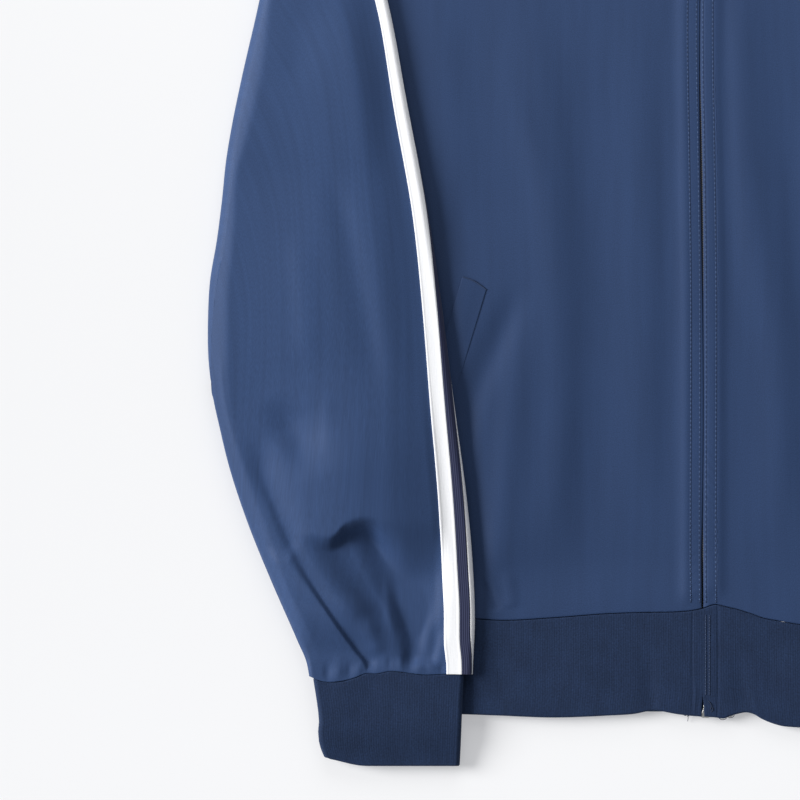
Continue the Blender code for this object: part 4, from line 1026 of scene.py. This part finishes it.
# gathers where a sleeve is sewn to its cuff: across, rise, half width, length
GATHERS = [(236, -0.9, 2.4, 16), (229, 0.9, 3.0, 18), (222, -0.8, 2.2, 14), (216, 1.0, 2.6, 10),
           (205, 0.9, 3.0, 13), (197, -0.7, 2.0, 12), (190, 1.1, 2.4, 15), (184, -0.7, 2.4, 22),
           (178, 1.0, 3.2, 18), (170, 0.8, 3.4, 14), (164, -0.9, 1.6, 9)]


def gathers(across, from_seam, changes):
    """Rise of the gathers next to the cuff seam."""
    total = np.zeros(across.shape)
    for k, (at, rise, half, length) in enumerate(GATHERS):
        over, _, deeper = changes[k % len(changes)]
        fade = smooth_step(length, 2, from_seam) * smooth_step(-2, 8, from_seam)
        total += rise * deeper * fade * np.exp(-((across - at - over / 2) / half)**2)
    return total


# distances over which the upper face's form sets in: from the inner edge, the outer edge, the fold
# and the cuff seam, for the crown, the folds and the gathers
CROWN_INNER = (8, 60)
FLAT_AT_SEAM = (24, 0)
FOLDS_INNER, FOLDS_OUTER = (12, 26), (1, 12)
FOLDS_FROM_FOLD, FOLDS_FROM_SEAM = (0, 50), (0, 8)
GATHERS_INNER, GATHERS_OUTER = (14, 20), (1, 8)
LEAST_HIGH = 2.5             # the lowest that the upper face lies over the underside
LEAST_SOFT = 0.35            # how softly it stops there


def sleeve_grid(steps, side):
    """Rings of points round a sleeve, from the neckline and raglan seam to the cuff seam."""
    changes = [(0, 0, 1)] if side < 0 else LEFT_CHANGES
    flat = [flat_part(u, steps) for u in np.linspace(0, 1, FLAT_ROWS + 1)[:-1]]
    bent = [bent_part(angle, steps) for angle in np.linspace(0, pi, BEND_ROWS + 1)[:-1]]
    upper = np.array([upper_part(u, steps) for u in UPPER_ROWS])
    across, height, under, thick, edge, depth, from_fold, from_seam, inner, outer = np.moveaxis(upper, 2, 0)
    aside = np.abs(follow([*FOLD_EDGE, *OUTER_EDGE], across, height)[1])
    high = mix(thick, edge + rim_rise(aside, height) - under, smooth_step(*CROWN_INNER, inner))
    high = mix(high, CUFF_THICK, smooth_step(*FLAT_AT_SEAM, from_seam))
    folds = SLEEVE_FOLDS if side < 0 else changed(SLEEVE_FOLDS, changes)
    over, up, deeper = changes[0]
    shape = folds_on(folds, across, height) + deeper * puffed(across - over, height - up)
    shape *= smooth_step(*FOLDS_FROM_FOLD, from_fold) * smooth_step(*FOLDS_FROM_SEAM, from_seam)
    shape *= smooth_step(*FOLDS_INNER, inner) * smooth_step(*FOLDS_OUTER, outer)
    beside = smooth_step(*GATHERS_INNER, inner) * smooth_step(*GATHERS_OUTER, outer)
    shape += gathers(across, from_seam, changes) * beside
    high = LEAST_HIGH + LEAST_SOFT * np.logaddexp(0, (high + shape - LEAST_HIGH) / LEAST_SOFT)
    top = np.dstack([across, height, under + high * (1 - depth)])
    return np.concatenate([flat, bent, top]) * (side, 1, 1)


BEND_ROWS = 14
FLAT_ROWS = 36
FACING_UP = 190              # a row on the folded part's upper face
UPPER_ROWS = np.concatenate([np.linspace(0, 0.5, 66), np.linspace(0.5, 1, 136)[1:]])
# A ring's places: distances from the tape's start, from the far edge of its narrow band on; shares
# of the upper layer from there to the outer edge; steps round that edge; shares of the under layer
SLEEVE_STEPS = (np.linspace(-MIDDLE_BAND - NARROW_BAND, WIDE_BAND, 27), np.round(np.linspace(0, 1, 121), 4),
                9, np.round(np.linspace(0, 1, 31), 4))
# the tapes' own places, and each one's first and last
TAPE_PLACES = np.concatenate([np.linspace(-11.35, -6.5, 12), np.linspace(-6.3, -0.1, 32),
                              np.linspace(0.1, 9.9, 29)])
TAPE_STEPS = (TAPE_PLACES, np.array([0, NECK_SHARE, 1]), 2, np.array([0, NECK_SHARE, 1]))
TAPE_PARTS = (("narrow", 0, 12, "white_tape"), ("middle", 12, 44, "navy_tape"),
              ("wide", 44, 73, "white_tape"))


def make_sleeve(side, finish, tapes):
    """Sleeve tube from the neckline to the cuff, folded once over the front."""
    name = word(side)
    grid = sleeve_grid(SLEEVE_STEPS, side)
    for edge in ("bottom", "top"):
        grid = roll(grid, outward(grid, True, (FACING_UP, 90)), edge, 0.6, tuck=5)
    made = skin(f"sleeve_{name}_cloth", grid, finish, closed=True, facing_up=(FACING_UP, 90))
    dress(made, f"sleeve_{name}")


# beads along the white bands' edges: height, and place as a share of the width
BEADS = {"wide": (0.16, 0.09), "narrow": (0.1, 0.16)}
TAPE_RIBS = 5


def tape_profile(band, columns):
    """Rise across a tape: beaded edges on the white bands, ribs along the navy one."""
    over = np.linspace(0, 1, columns)
    if band == "middle":
        return 0.2 * np.abs(np.sin(pi * TAPE_RIBS * over)) - 0.1
    high, at = BEADS[band]
    return high * (np.exp(-((over - at) / 0.05)**2) + np.exp(-((1 - at - over) / 0.05)**2))


def make_tapes(side, finishes):
    """Knit tape along the sleeve's inner edge, in three bands made from the sleeve's points."""
    grid = sleeve_grid(TAPE_STEPS, side)
    out = outward(grid, True, (-20, 60))
    tapes = []
    for band, first, last, slot in TAPE_PARTS:
        rise = TAPE_RISE + tape_profile(band, last - first)
        strip = grid[:, first:last] + out[:, first:last] * rise[None, :, None]
        strip[0] = mix(strip[0], strip[1], 0.03)
        strip_out = out[:, first:last]
        for edge in ("left", "right"):
            strip = roll(strip, strip_out, edge, 0.3, turn=90, tuck=0.5)
            strip_out = outward(strip, False, (-20, strip.shape[1] // 2))
        middle = strip.shape[1] // 2
        strip = rolled(strip, (-20, middle), [("bottom", 0.3, 90, 0.4), ("top", 0.3, 90, 0.4)])
        made = skin(f"tape_{band}_{word(side)}_knit", strip, finishes[slot], facing_up=(-25, middle))
        dress(made, f"tape_{band}_{word(side)}")
        tapes.append(made)
    return tapes


def make_cuff(side, finish):
    """Ribbed cuff, a flattened tube of folded rib that hangs over the hem rib's edge."""
    turn = np.linspace(pi / 2, -pi / 2, 15)[1:-1]
    radius = CUFF_THICK / 2
    rows = []
    for fall in RIB_ROWS:
        height = mix(CUFF_TOP, CUFF_LOW, fall)
        inner, outer = float(curve(CUFF_INNER, height)), float(curve(CUFF_OUTER, height))
        near, far = inner + radius, outer - radius
        upper = [(a, 1.0) for a in np.linspace(near, far, CUFF_STEPS[0])]
        outer_turn = [(far + radius * np.cos(t), 0.5 + 0.5 * np.sin(t)) for t in turn]
        lower = [(a, 0.0) for a in np.linspace(far, near, CUFF_STEPS[1])]
        inner_turn = [(near - radius * np.cos(t), 0.5 + 0.5 * np.sin(t)) for t in turn[::-1]]
        across, depth = np.array(upper + outer_turn + lower + inner_turn).T
        share = np.clip((across - inner) / (outer - inner), 0, 1)
        seam = curve(CUFF_SEAM, across) - SEAM / 2
        low = CUFF_LOW + CUFF_CORNER * smooth_step(*CUFF_CORNER_AT, share)**1.3
        heights = mix(seam, low, fall)
        level = CUFF_REST - CUFF_DROP * smooth_step(*CUFF_DROP_AT, heights) + depth * CUFF_THICK
        rows.append(np.column_stack([across, heights, level]))
    grid = np.array(rows)
    out = outward(grid, True, (1, 40))
    row = grid[6]
    run = np.cumsum(np.linalg.norm(np.diff(row, axis=0, prepend=row[:1]), axis=1))
    raised = (wales(run, RIB_PITCH, RIB_DEEP) * (depth > 0))[None, :]
    raised = raised + folds_on(CUFF_FOLDS, grid[..., 0], grid[..., 1]) * (depth == 1)
    inside = (grid - out * RIB)[CUFF_INSIDE]
    grid = doubled(grid + out * raised[..., None], out, RIB, inside) * (side, 1, 1)
    grid = roll(grid, outward(grid, True, (1, 40)), "bottom", SEAM_EDGE, turn=110, tuck=0.5)
    made = skin(f"cuff_{word(side)}_knit", grid, finish, closed=True, facing_up=(10, 60))
    dress(made, f"cuff_{word(side)}")


CUFF_FOLDS = [
    ([(228, 20), (226, 8), (224, -6)], 0.35, (7, 7), (7, 7), 0.05, 0.5),
    ([(209, 24), (208, 12), (207, 0)], -0.3, (6, 6), (6, 6), 0.05, 0.5),
    ([(178, 22), (177, -5), (175, -30)], 0.3, (14, 14), (14, 14), 0.05, 0.3),
]


# ---------------------------------------------------------------- zip and sewing

CHAIN_ENDS = (8.0, 610.0)    # heights
CHAIN_LEVEL = 2.75
CHAIN_RISE = 0.85            # how far the zip rises to its slider
CHAIN_RISE_AT = (592, 604)
ZIP_TAPE = 0.6               # thickness
ZIP_HALF = 13.0              # half width of both tapes, and how it narrows at the collar
ZIP_HALF_HIGH = 6.5
ZIP_NARROWING = (560, 590)
ZIP_END_NARROWING = (600, 604)
COIL_HALF = 2.2
COIL_PITCH = 1.5
COIL_LIFT = 1.3              # how far the shown coil's middle stands over the zip tapes
TURN_ASIDE = 1.3             # from the zip's line to the middle of a tape's turns
TURN_LONG = 2.3              # a turn's length, radius of its wire, bow and slant
TURN_RADIUS = 0.32
TURN_BOW = 0.2
TURN_SLANT = 0.12
SLIDER_AT = 612.0
SLIDER_HALF = 5.5            # half its length
PLATES_APART = 2.6           # from the lower plate's underside to the upper plate's
PIVOT_HIGH = 8.0
TAB_LONG = 24.0
TAB_WIDE = 6.4
TAB_THICK = 1.1


def chain_level(height):
    """Level of the zip tapes' upper face."""
    return CHAIN_LEVEL + ZIP_TAPE + CHAIN_RISE * smooth_step(*CHAIN_RISE_AT, height)


def make_zip_tapes(finish):
    """Both woven tapes as one sheet, narrower where the collar's edges part."""
    heights = np.arange(*CHAIN_ENDS, 1.5)
    half = mix(ZIP_HALF, ZIP_HALF_HIGH, smooth_step(*ZIP_NARROWING, heights))
    half = mix(half, COIL_HALF + 0.4, smooth_step(*ZIP_END_NARROWING, heights))
    over = np.linspace(-1, 1, 27)
    across = zip_across(heights)[:, None] + half[:, None] * over
    level = chain_level(heights)[:, None] + 0.06 * np.cos(over * 26)[None, :]
    grid = np.dstack([across, np.repeat(heights[:, None], 27, axis=1), level])
    for edge in ("left", "right", "bottom", "top"):
        grid = rolled(grid, (20, 13), [(edge, ZIP_TAPE / 2, 180, 1.5)])
    made = skin("zip_tapes", grid, finish, facing_up=(20, 13))
    dress(made, "zip_chain")


def make_coil(finish):
    """Closed coil: its wire's turns from both tapes, one above the other along the zip."""
    count = int((CHAIN_ENDS[1] - CHAIN_ENDS[0] - 2) / COIL_PITCH)
    up = np.tile([0.0, 0.0, 1.0], (count, 1))
    parts = []
    for side in (-1, 1):
        first = CHAIN_ENDS[0] + 1.2 + (COIL_PITCH / 2 if side > 0 else 0)
        heights = first + COIL_PITCH * np.arange(count)
        middle = zip_across(heights) + side * TURN_ASIDE
        centre = np.column_stack([middle, heights, chain_level(heights) + COIL_LIFT])
        along = np.tile(unit(np.array([1, TURN_SLANT * side, 0])), (count, 1))
        parts.append(capsules(centre, along, up, TURN_LONG, TURN_RADIUS, TURN_BOW))
    corners, faces = joined(parts)
    made = new_object("zip_coil", place(corners), faces, [finish])
    dress(made, "zip_chain")


def solid(name, outline, low, high, finish, bevel=0.25, hole=()):
    """Plate between two levels with soft edges; outline and hole are rings of as many points."""
    rings = [outline] + ([hole] if len(hole) else [])
    count = len(outline)
    corners = [(x, y, z) for z in (low, high) for ring in rings for x, y in ring]
    layer = count * len(rings)
    faces = []
    for k in range(count):
        n = (k + 1) % count
        faces.append((k, n, layer + n, layer + k))
        if len(hole):
            faces += [(count + n, count + k, layer + count + k, layer + count + n),
                      (n, k, count + k, count + n),
                      (layer + k, layer + n, layer + count + n, layer + count + k)]
    if not len(hole):
        faces += [tuple(range(count - 1, -1, -1)), tuple(range(layer, layer + count))]
    made = new_object(name, place(corners), faces, [finish])
    soft = made.modifiers.new("soft edges", "BEVEL")
    soft.width = bevel * MM
    soft.segments = 3
    soft.limit_method = "ANGLE"
    soft.angle_limit = radians(40)
    return made


def rounded(half_wide, low, high, corner, points=4):
    """Outline of a rectangle with rounded corners, about across 0."""
    found = []
    centres = ((half_wide - corner, low + corner), (half_wide - corner, high - corner),
               (corner - half_wide, high - corner), (corner - half_wide, low + corner))
    for k, (x, y) in enumerate(centres):
        for t in np.radians(np.linspace(-90, 0, points) + 90 * k):
            found.append((x + corner * np.cos(t), y + corner * np.sin(t)))
    return found


def make_slider(finish):
    """Slider's two plates, its post, and the bridge that holds the pull tab."""
    low, high = SLIDER_AT - SLIDER_HALF, SLIDER_AT + SLIDER_HALF
    under = CHAIN_LEVEL - 0.05
    top = under + PLATES_APART
    bridge = PIVOT_HIGH + 0.9
    half = [(2.6, low), (3.4, low + 1), (3.9, low + 4), (4.3, high - 2), (3.6, high), (1.6, high - 0.5)]
    shield = [(-2.6, low), *half, (0, high - 1.1), *((-x, y) for x, y in half[:0:-1])]
    parts = [("under", shield, under, under + 0.6, 0.2),
             ("upper", shield, top, top + 0.8, 0.3),
             ("post", rounded(0.8, SLIDER_AT - 0.6, SLIDER_AT + 3, 0.5), under + 0.3, top + 0.3, 0.25),
             ("foot_low", rounded(0.8, low + 0.8, low + 2, 0.3), top + 0.4, bridge + 0.6, 0.25),
             ("foot_high", rounded(0.8, high - 2, high - 0.8, 0.3), top + 0.4, bridge + 0.6, 0.25),
             ("bridge", rounded(0.8, low + 0.8, high - 0.8, 0.6), bridge, bridge + 0.89, 0.35)]
    for side in (-1, 1):
        flange = [(side * 3.0, low + 0.6), (side * 3.7, low + 1.4), (side * 4.15, high - 2.4),
                  (side * 3.4, high - 1.6), (side * 3.2, low + 2)]
        parts.append((f"flange_{word(side)}", flange[::side], top - 0.9, top + 0.3, 0.12))
    for name, outline, start, end, bevel in parts:
        dress(solid(f"slider_{name}", outline, start, end, finish, bevel), "zip_slider")


def make_tab(finish):
    """Pull tab with a slot in its end, hung on a cross bar in the slider's bridge."""
    thick = TAB_THICK / 2
    end = SLIDER_AT - TAB_LONG
    plate = solid("tab_plate", rounded(TAB_WIDE / 2, end, SLIDER_AT - 6, 1.6, 6), PIVOT_HIGH - thick,
                  PIVOT_HIGH + thick, finish, 0.3, rounded(1.5, end + 2.2, end + 9, 1.45, 6))
    parts = [plate]
    for side in (-1, 1):
        arm = [(side * 2.2 + x, SLIDER_AT + y) for x, y in ((-0.8, -7), (0.8, -7), (0.8, 0.5), (-0.8, 0.5))]
        parts.append(solid(f"tab_arm_{word(side)}", arm, PIVOT_HIGH - 0.5, PIVOT_HIGH + 0.5, finish, 0.3))
    corners, faces = tube([(x, SLIDER_AT, PIVOT_HIGH) for x in (-2.4, 0, 2.4)], 0.5, 12)
    parts.append(new_object("tab_bar", place(corners), faces, [finish]))
    for part in parts:
        dress(part, "pull_tab", "pull_tab")


def make_zip_end(finish):
    """Metal box that ends the zip, and the bent foot that shows below the rib."""
    top = CHAIN_LEVEL + 2.8
    box = [(0.5, -1.6), (3.4, -1.6), (3.4, 7.6), (1.0, 7.6)]
    foot = [(0.0, -1.2), (0.2, -3.2), (4.4, -3.3), (4.6, -2.6), (2.9, -1.6), (1.6, -0.4), (1.3, 2.4),
            (0.7, 2.4)]
    edge = [(0.6, -0.6), (1.35, -0.6), (1.75, 6.8), (1.3, 7.2)]
    for name, outline, low, high, bevel in (("box", box, CHAIN_LEVEL, top, 0.3),
                                            ("foot", foot, top - 0.4, top + 0.75, 0.25),
                                            ("edge", edge, top - 0.4, top + 0.55, 0.2)):
        dress(solid(f"zip_end_{name}", outline, low, high, finish, bevel), "zip_end")


# loose threads at the hem beside the zip: across, height, level of each one's points
LOOSE_THREADS = [
    [(-11.6, -0.6, 4.2), (-11.2, -1.4, 4.0), (-10.1, -1.9, 3.6), (-9.5, -1.2, 3.9), (-9.9, -0.6, 4.3)],
    [(-9.4, -1.0, 4.2), (-9.0, -2.3, 3.4), (-7.9, -2.0, 3.2), (-7.7, -1.1, 4.0)],
    [(-8.8, -1.2, 3.6), (-8.4, -3.0, 2.2), (-8.6, -5.7, 1.2)],
    [(-0.9, -1.4, 4.4), (-0.4, -2.6, 3.8), (0.4, -2.4, 4.4), (0.2, -1.2, 5.0)],
    [(7.0, -2.2, 4.6), (9.6, -3.0, 3.8), (12.6, -3.6, 3.2), (15.4, -3.2, 3.0), (17.4, -2.4, 3.4)],
    [(10.2, -2.4, 4.6), (12.2, -4.4, 3.0), (14.6, -4.4, 2.6), (15.6, -3.6, 3.0)],
    [(13.0, -2.6, 4.4), (15.6, -2.0, 3.6), (18.4, -2.4, 3.2), (19.6, -1.6, 3.6), (18.6, -0.8, 4.6)],
    [(15.0, -1.6, 4.8), (17.6, -3.2, 3.4), (19.8, -2.8, 3.2), (20.6, -1.4, 4.0)],
    [(5.2, 1.8, 6.9), (5.9, 4.2, 7.5), (5.0, 6.4, 7.4), (3.9, 7.6, 7.0)],
    [(5.6, 0.6, 6.9), (6.8, 1.8, 7.4), (6.6, 3.6, 7.2)],
]


def make_loose_threads(finish):
    """Loose ends of sewing thread that stick out below the rib."""
    corners, faces = joined([tube(smooth_line(points), 0.2) for points in LOOSE_THREADS])
    made = new_object("loose_threads", place(corners), faces, [finish])
    dress(made, "hem_rib")


def smooth_line(points, steps=14):
    table = np.column_stack([np.linspace(0, 1, len(points)), np.array(points, float)])
    return curve(table, np.linspace(0, 1, steps))


# rows of stitches through the hem rib: distance from the middle line, distance from its seam, pitch
RIB_STITCHES = ((2.3, 4.8, 2.2), (4.7, 5.9, 2.2))


def make_sewing(finish, on_rib, hole):
    """Topstitching beside the zip, down both fronts and, closer, through the hem rib."""
    rows = []
    for side in (-1, 1):
        for off, pitch in ZIP_ROWS[side]:
            heights = np.arange(70, front_neckline(off) - 3, 1.0)
            heights = heights[heights > hem_seam(side * off) + 1]
            x = zip_across(heights) + side * off
            points = np.column_stack([x, heights, front_form(x, heights, side) + 0.1])
            rows.append((points, np.tile([0.0, 0.0, 1.0], (len(points), 1)), pitch))
    made = sewing("zip_topstitch", rows, [finish, hole])
    dress(made, "front_right")
    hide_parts("front_left")
    rows = []
    for off, start, pitch in RIB_STITCHES:
        heights = np.arange(hem_seam(off) - start, 9, -1.0)
        points = np.full((len(heights), 3), (off, 0, RIB_TOP - 0.05))
        points[:, 1] = heights
        rows.append((points, np.tile([0.0, 0.0, 1.0], (len(points), 1)), pitch))
    made = sewing("rib_topstitch", rows, [on_rib, hole])
    dress(made, "hem_rib")


# ---------------------------------------------------------------- finishes

class Finish:
    """Principled material built up from procedural nodes."""

    def __init__(self, name, colour, rough, metal=0.0, sheen=0.0, tint=(1, 1, 1), sheen_rough=0.4):
        self.made = bpy.data.materials.new(name)
        self.made.use_nodes = True
        self.nodes, self.links = self.made.node_tree.nodes, self.made.node_tree.links
        self.shader = self.nodes["Principled BSDF"]
        for socket, value in (("Base Color", (*colour, 1)), ("Roughness", rough), ("Metallic", metal),
                              ("Sheen Weight", sheen), ("Sheen Tint", (*tint, 1)),
                              ("Sheen Roughness", sheen_rough)):
            self.shader.inputs[socket].default_value = value
        self.colour = colour

    def node(self, kind, **values):
        """New node of a kind, with some of its properties or inputs set."""
        made = self.nodes.new(kind)
        for name, value in values.items():
            if hasattr(made, name):
                setattr(made, name, value)
            else:
                made.inputs[name.replace("_", " ")].default_value = value
        return made

    def noise(self, scales, detail=2.0):
        """Noise on the cloth's map, scaled across and along it, in cells per metre."""
        place_on = self.node("ShaderNodeUVMap", uv_map="cloth")
        scaled = self.node("ShaderNodeVectorMath", operation="MULTIPLY")
        scaled.inputs[1].default_value = (*scales, 1)
        noise = self.node("ShaderNodeTexNoise", Scale=1.0, Detail=detail)
        self.links.new(place_on.outputs[0], scaled.inputs[0])
        self.links.new(scaled.outputs[0], noise.inputs["Vector"])
        return noise.outputs["Fac"]

    def vary(self, source, amount):
        """Lets a 0 to 1 source lighten and darken the base colour by an amount."""
        shade = self.node("ShaderNodeMapRange")
        shade.inputs["From Min"].default_value = 0.25
        shade.inputs["From Max"].default_value = 0.75
        shade.inputs["To Min"].default_value = 1 - amount
        shade.inputs["To Max"].default_value = 1 + amount
        self.links.new(source, shade.inputs["Value"])
        mixer = self.node("ShaderNodeVectorMath", operation="MULTIPLY")
        mixer.inputs[0].default_value = self.colour
        self.links.new(shade.outputs["Result"], mixer.inputs[1])
        base = self.shader.inputs["Base Color"]
        if base.is_linked:
            self.links.new(base.links[0].from_socket, mixer.inputs[0])
        self.links.new(mixer.outputs[0], base)
        return self

    def bump(self, source, height, strength=1.0):
        """Bumps from a 0 to 1 source, their height in millimetres."""
        bump = self.node("ShaderNodeBump", Strength=strength, Distance=height * MM)
        self.links.new(source, bump.inputs["Height"])
        normal = self.shader.inputs["Normal"]
        if normal.is_linked:
            self.links.new(normal.links[0].from_socket, bump.inputs["Normal"])
        self.links.new(bump.outputs[0], normal)
        return self


SHEEN_TINT = (0.5, 0.65, 1.0)


def satin(name, colour, grain=1.0):
    """Satin-faced tricot: long streaks, soft patches and fine grain in its colour."""
    made = Finish(name, colour, 0.62, sheen=0.08, tint=SHEEN_TINT, sheen_rough=0.4)
    made.shader.inputs["Specular IOR Level"].default_value = 0.22
    made.vary(made.noise((150, 12), 3), 0.055 * grain)
    made.vary(made.noise((22, 10), 2), 0.045 * grain)
    made.vary(made.noise((1500, 1300), 1), 0.15 * grain)
    return made.bump(made.noise((1300, 1100), 1), 0.05)


def rib(name):
    """Matt rib knit: streaks along its ribs, soft patches and grain."""
    made = Finish(name, (0.0128, 0.0266, 0.068), 0.8, sheen=0.08, tint=(0.4, 0.6, 1.0), sheen_rough=0.5)
    made.shader.inputs["Specular IOR Level"].default_value = 0.2
    made.vary(made.noise((500, 60), 2), 0.11)
    made.vary(made.noise((60, 60), 3), 0.12)
    made.vary(made.noise((900, 900), 1), 0.24)
    return made.bump(made.noise((900, 700), 1), 0.06)


def knit(name, colour):
    """Plain narrow knit or woven tape."""
    made = Finish(name, colour, 0.7, sheen=0.1, sheen_rough=0.5)
    made.vary(made.noise((900, 40), 2), 0.02)
    made.vary(made.noise((700, 700), 1), 0.02)
    return made.bump(made.noise((900, 90), 1), 0.06)


def finishes():
    """The record's slots, and the threads and the painted shade of the stitches' holes and of the pocket's
    opening.
    """
    made = {
        # one satin in two tones: the sleeves' copy lighter, the body's darker, painted light and shade for
        # how each lies to the light; the grain is the cloth's own
        "satin": satin("satin", (0.0243, 0.0500, 0.126)),
        "sleeve_satin_lit": satin("satin_sleeve", (0.0300, 0.0612, 0.152), grain=1.45),
        "rib": rib("rib"),
        "white_tape": knit("white_tape", (0.97, 0.97, 0.99)),
        "navy_tape": knit("navy_tape", (0.0128, 0.0186, 0.065)),
        "zip": knit("zip_tape", (0.014, 0.020, 0.040)),
        "metal": Finish("metal", (0.78, 0.77, 0.74), 0.28, metal=1.0),
        "thread": Finish("thread", (0.050, 0.094, 0.205), 0.5, sheen=0.12, tint=SHEEN_TINT),
        "coil": Finish("zip_coil", (0.085, 0.078, 0.066), 0.35),
        # painted shade: darker than the satin, for the needle holes and the pocket's opening
        "hole": Finish("painted_hole_shade", (0.017, 0.036, 0.092), 0.8),
        "rib_thread": Finish("rib_thread", (0.033, 0.056, 0.118), 0.7),
        "loose": Finish("loose_thread", (0.014, 0.024, 0.055), 0.7),
    }
    return {name: finish.made for name, finish in made.items()}


# ---------------------------------------------------------------- light and camera

CAMERA = (-0.1903, -0.1288, 3.0)
SEEN = 0.504                 # width that the picture shows, at this level of the garment
SEEN_LEVEL = 0.008
SENSOR = 36                  # width of the camera's sensor
FLOOR_HALF = 20              # metres
# The floor's glow is painted light: it lifts the floor's shadows and, stronger towards the picture's lower
# edge, evens out the lamps' falloff.
FLOOR_SHADE = 0.60           # the surface's diffuse part; the rest of its brightness is its own,
FLOOR_GLOW = (0.36, 0.285)   # at the picture's lower and upper edges,
FLOOR_GLOW_AT = (-0.35, 0.12)  # which are at these places up the frame
SUN_POWER = 4.32
SUN_FROM = (-0.86, 0.2, 0.46)
SUN_WIDE = 28                # degrees
NEAR_POWER = 3.2             # of the lamp above the picture's top: its direction, place and width
NEAR_FROM = (0, 0.8, 0.6)
NEAR_AT = (-0.2, 0.75, 0.6)
NEAR_WIDE = 0.8
SKY = (0.92, 0.96, 1.0, 1)
SKY_POWER = 0.27


def make_floor():
    """White surface with a painted glow of its own, stronger towards the picture's lower edge."""
    corners = [(x * FLOOR_HALF, y * FLOOR_HALF, -0.0003) for x, y in ((-1, -1), (1, -1), (1, 1), (-1, 1))]
    mesh = bpy.data.meshes.new("floor")
    mesh.from_pydata(corners, [], [(0, 1, 2, 3)])
    floor = bpy.data.objects.new("floor", mesh)
    bpy.context.collection.objects.link(floor)
    finish = Finish("paper", (FLOOR_SHADE,) * 3, 0.9)
    finish.shader.inputs["Emission Color"].default_value = (0.97, 0.97, 1.0, 1)
    finish.shader.inputs["Specular IOR Level"].default_value = 0
    where = finish.node("ShaderNodeTexCoord")
    parts = finish.node("ShaderNodeSeparateXYZ")
    glow = finish.node("ShaderNodeMapRange")
    for socket, value in (("From Min", FLOOR_GLOW_AT[0]), ("From Max", FLOOR_GLOW_AT[1]),
                          ("To Min", FLOOR_GLOW[0]), ("To Max", FLOOR_GLOW[1])):
        glow.inputs[socket].default_value = value
    finish.links.new(where.outputs["Object"], parts.inputs[0])
    finish.links.new(parts.outputs["Y"], glow.inputs["Value"])
    finish.links.new(glow.outputs[0], finish.shader.inputs["Emission Strength"])
    mesh.materials.append(finish.made)


def lamp(name, kind, energy, source):
    """Light of a kind that shines from the direction of its source."""
    light = bpy.data.lights.new(name, kind)
    light.energy = energy
    made = bpy.data.objects.new(name, light)
    made.rotation_mode = "QUATERNION"
    made.rotation_quaternion = Vector(source).to_track_quat("Z", "Y")
    made.visible_camera = False
    bpy.context.collection.objects.link(made)
    return made


def make_light():
    """A broad light from the picture's left, a nearer one above its top, and a dim even one."""
    window = lamp("window", "SUN", SUN_POWER, SUN_FROM)
    window.data.angle = radians(SUN_WIDE)
    near = lamp("near_light", "AREA", NEAR_POWER, NEAR_FROM)
    near.data.shape = "DISK"
    near.data.size = NEAR_WIDE
    near.location = NEAR_AT
    world = bpy.data.worlds.new("room")
    bpy.context.scene.world = world
    world.use_nodes = True
    sky = world.node_tree.nodes["Background"]
    sky.inputs[0].default_value = SKY
    sky.inputs[1].default_value = SKY_POWER


def make_camera():
    """Camera straight above the sleeve and the zip, so far away that it shows the width SEEN."""
    camera = bpy.data.objects.new("camera", bpy.data.cameras.new("camera"))
    camera.location = CAMERA
    camera.data.lens = SENSOR * (CAMERA[2] - SEEN_LEVEL) / SEEN
    camera.data.dof.use_dof = False
    camera.data.clip_start, camera.data.clip_end = 0.1, 30
    bpy.context.collection.objects.link(camera)
    bpy.context.scene.camera = camera
    bpy.context.scene.view_settings.view_transform = "Standard"


# ---------------------------------------------------------------- the jacket

def main():
    looks = finishes()
    make_back(looks["satin"])
    make_hem_rib(looks["rib"])
    make_collar(looks["rib"])
    for side in (-1, 1):
        make_front(side, looks["satin"])
        make_welt(side, looks["satin"], looks["hole"])
        make_sleeve(side, looks["sleeve_satin_lit"], make_tapes(side, looks))
        make_cuff(side, looks["rib"])
    make_zip_tapes(looks["zip"])
    make_coil(looks["coil"])
    make_slider(looks["metal"])
    make_tab(looks["metal"])
    make_zip_end(looks["metal"])
    make_sewing(looks["thread"], looks["rib_thread"], looks["hole"])
    make_loose_threads(looks["loose"])
    make_floor()
    make_light()
    make_camera()


main()
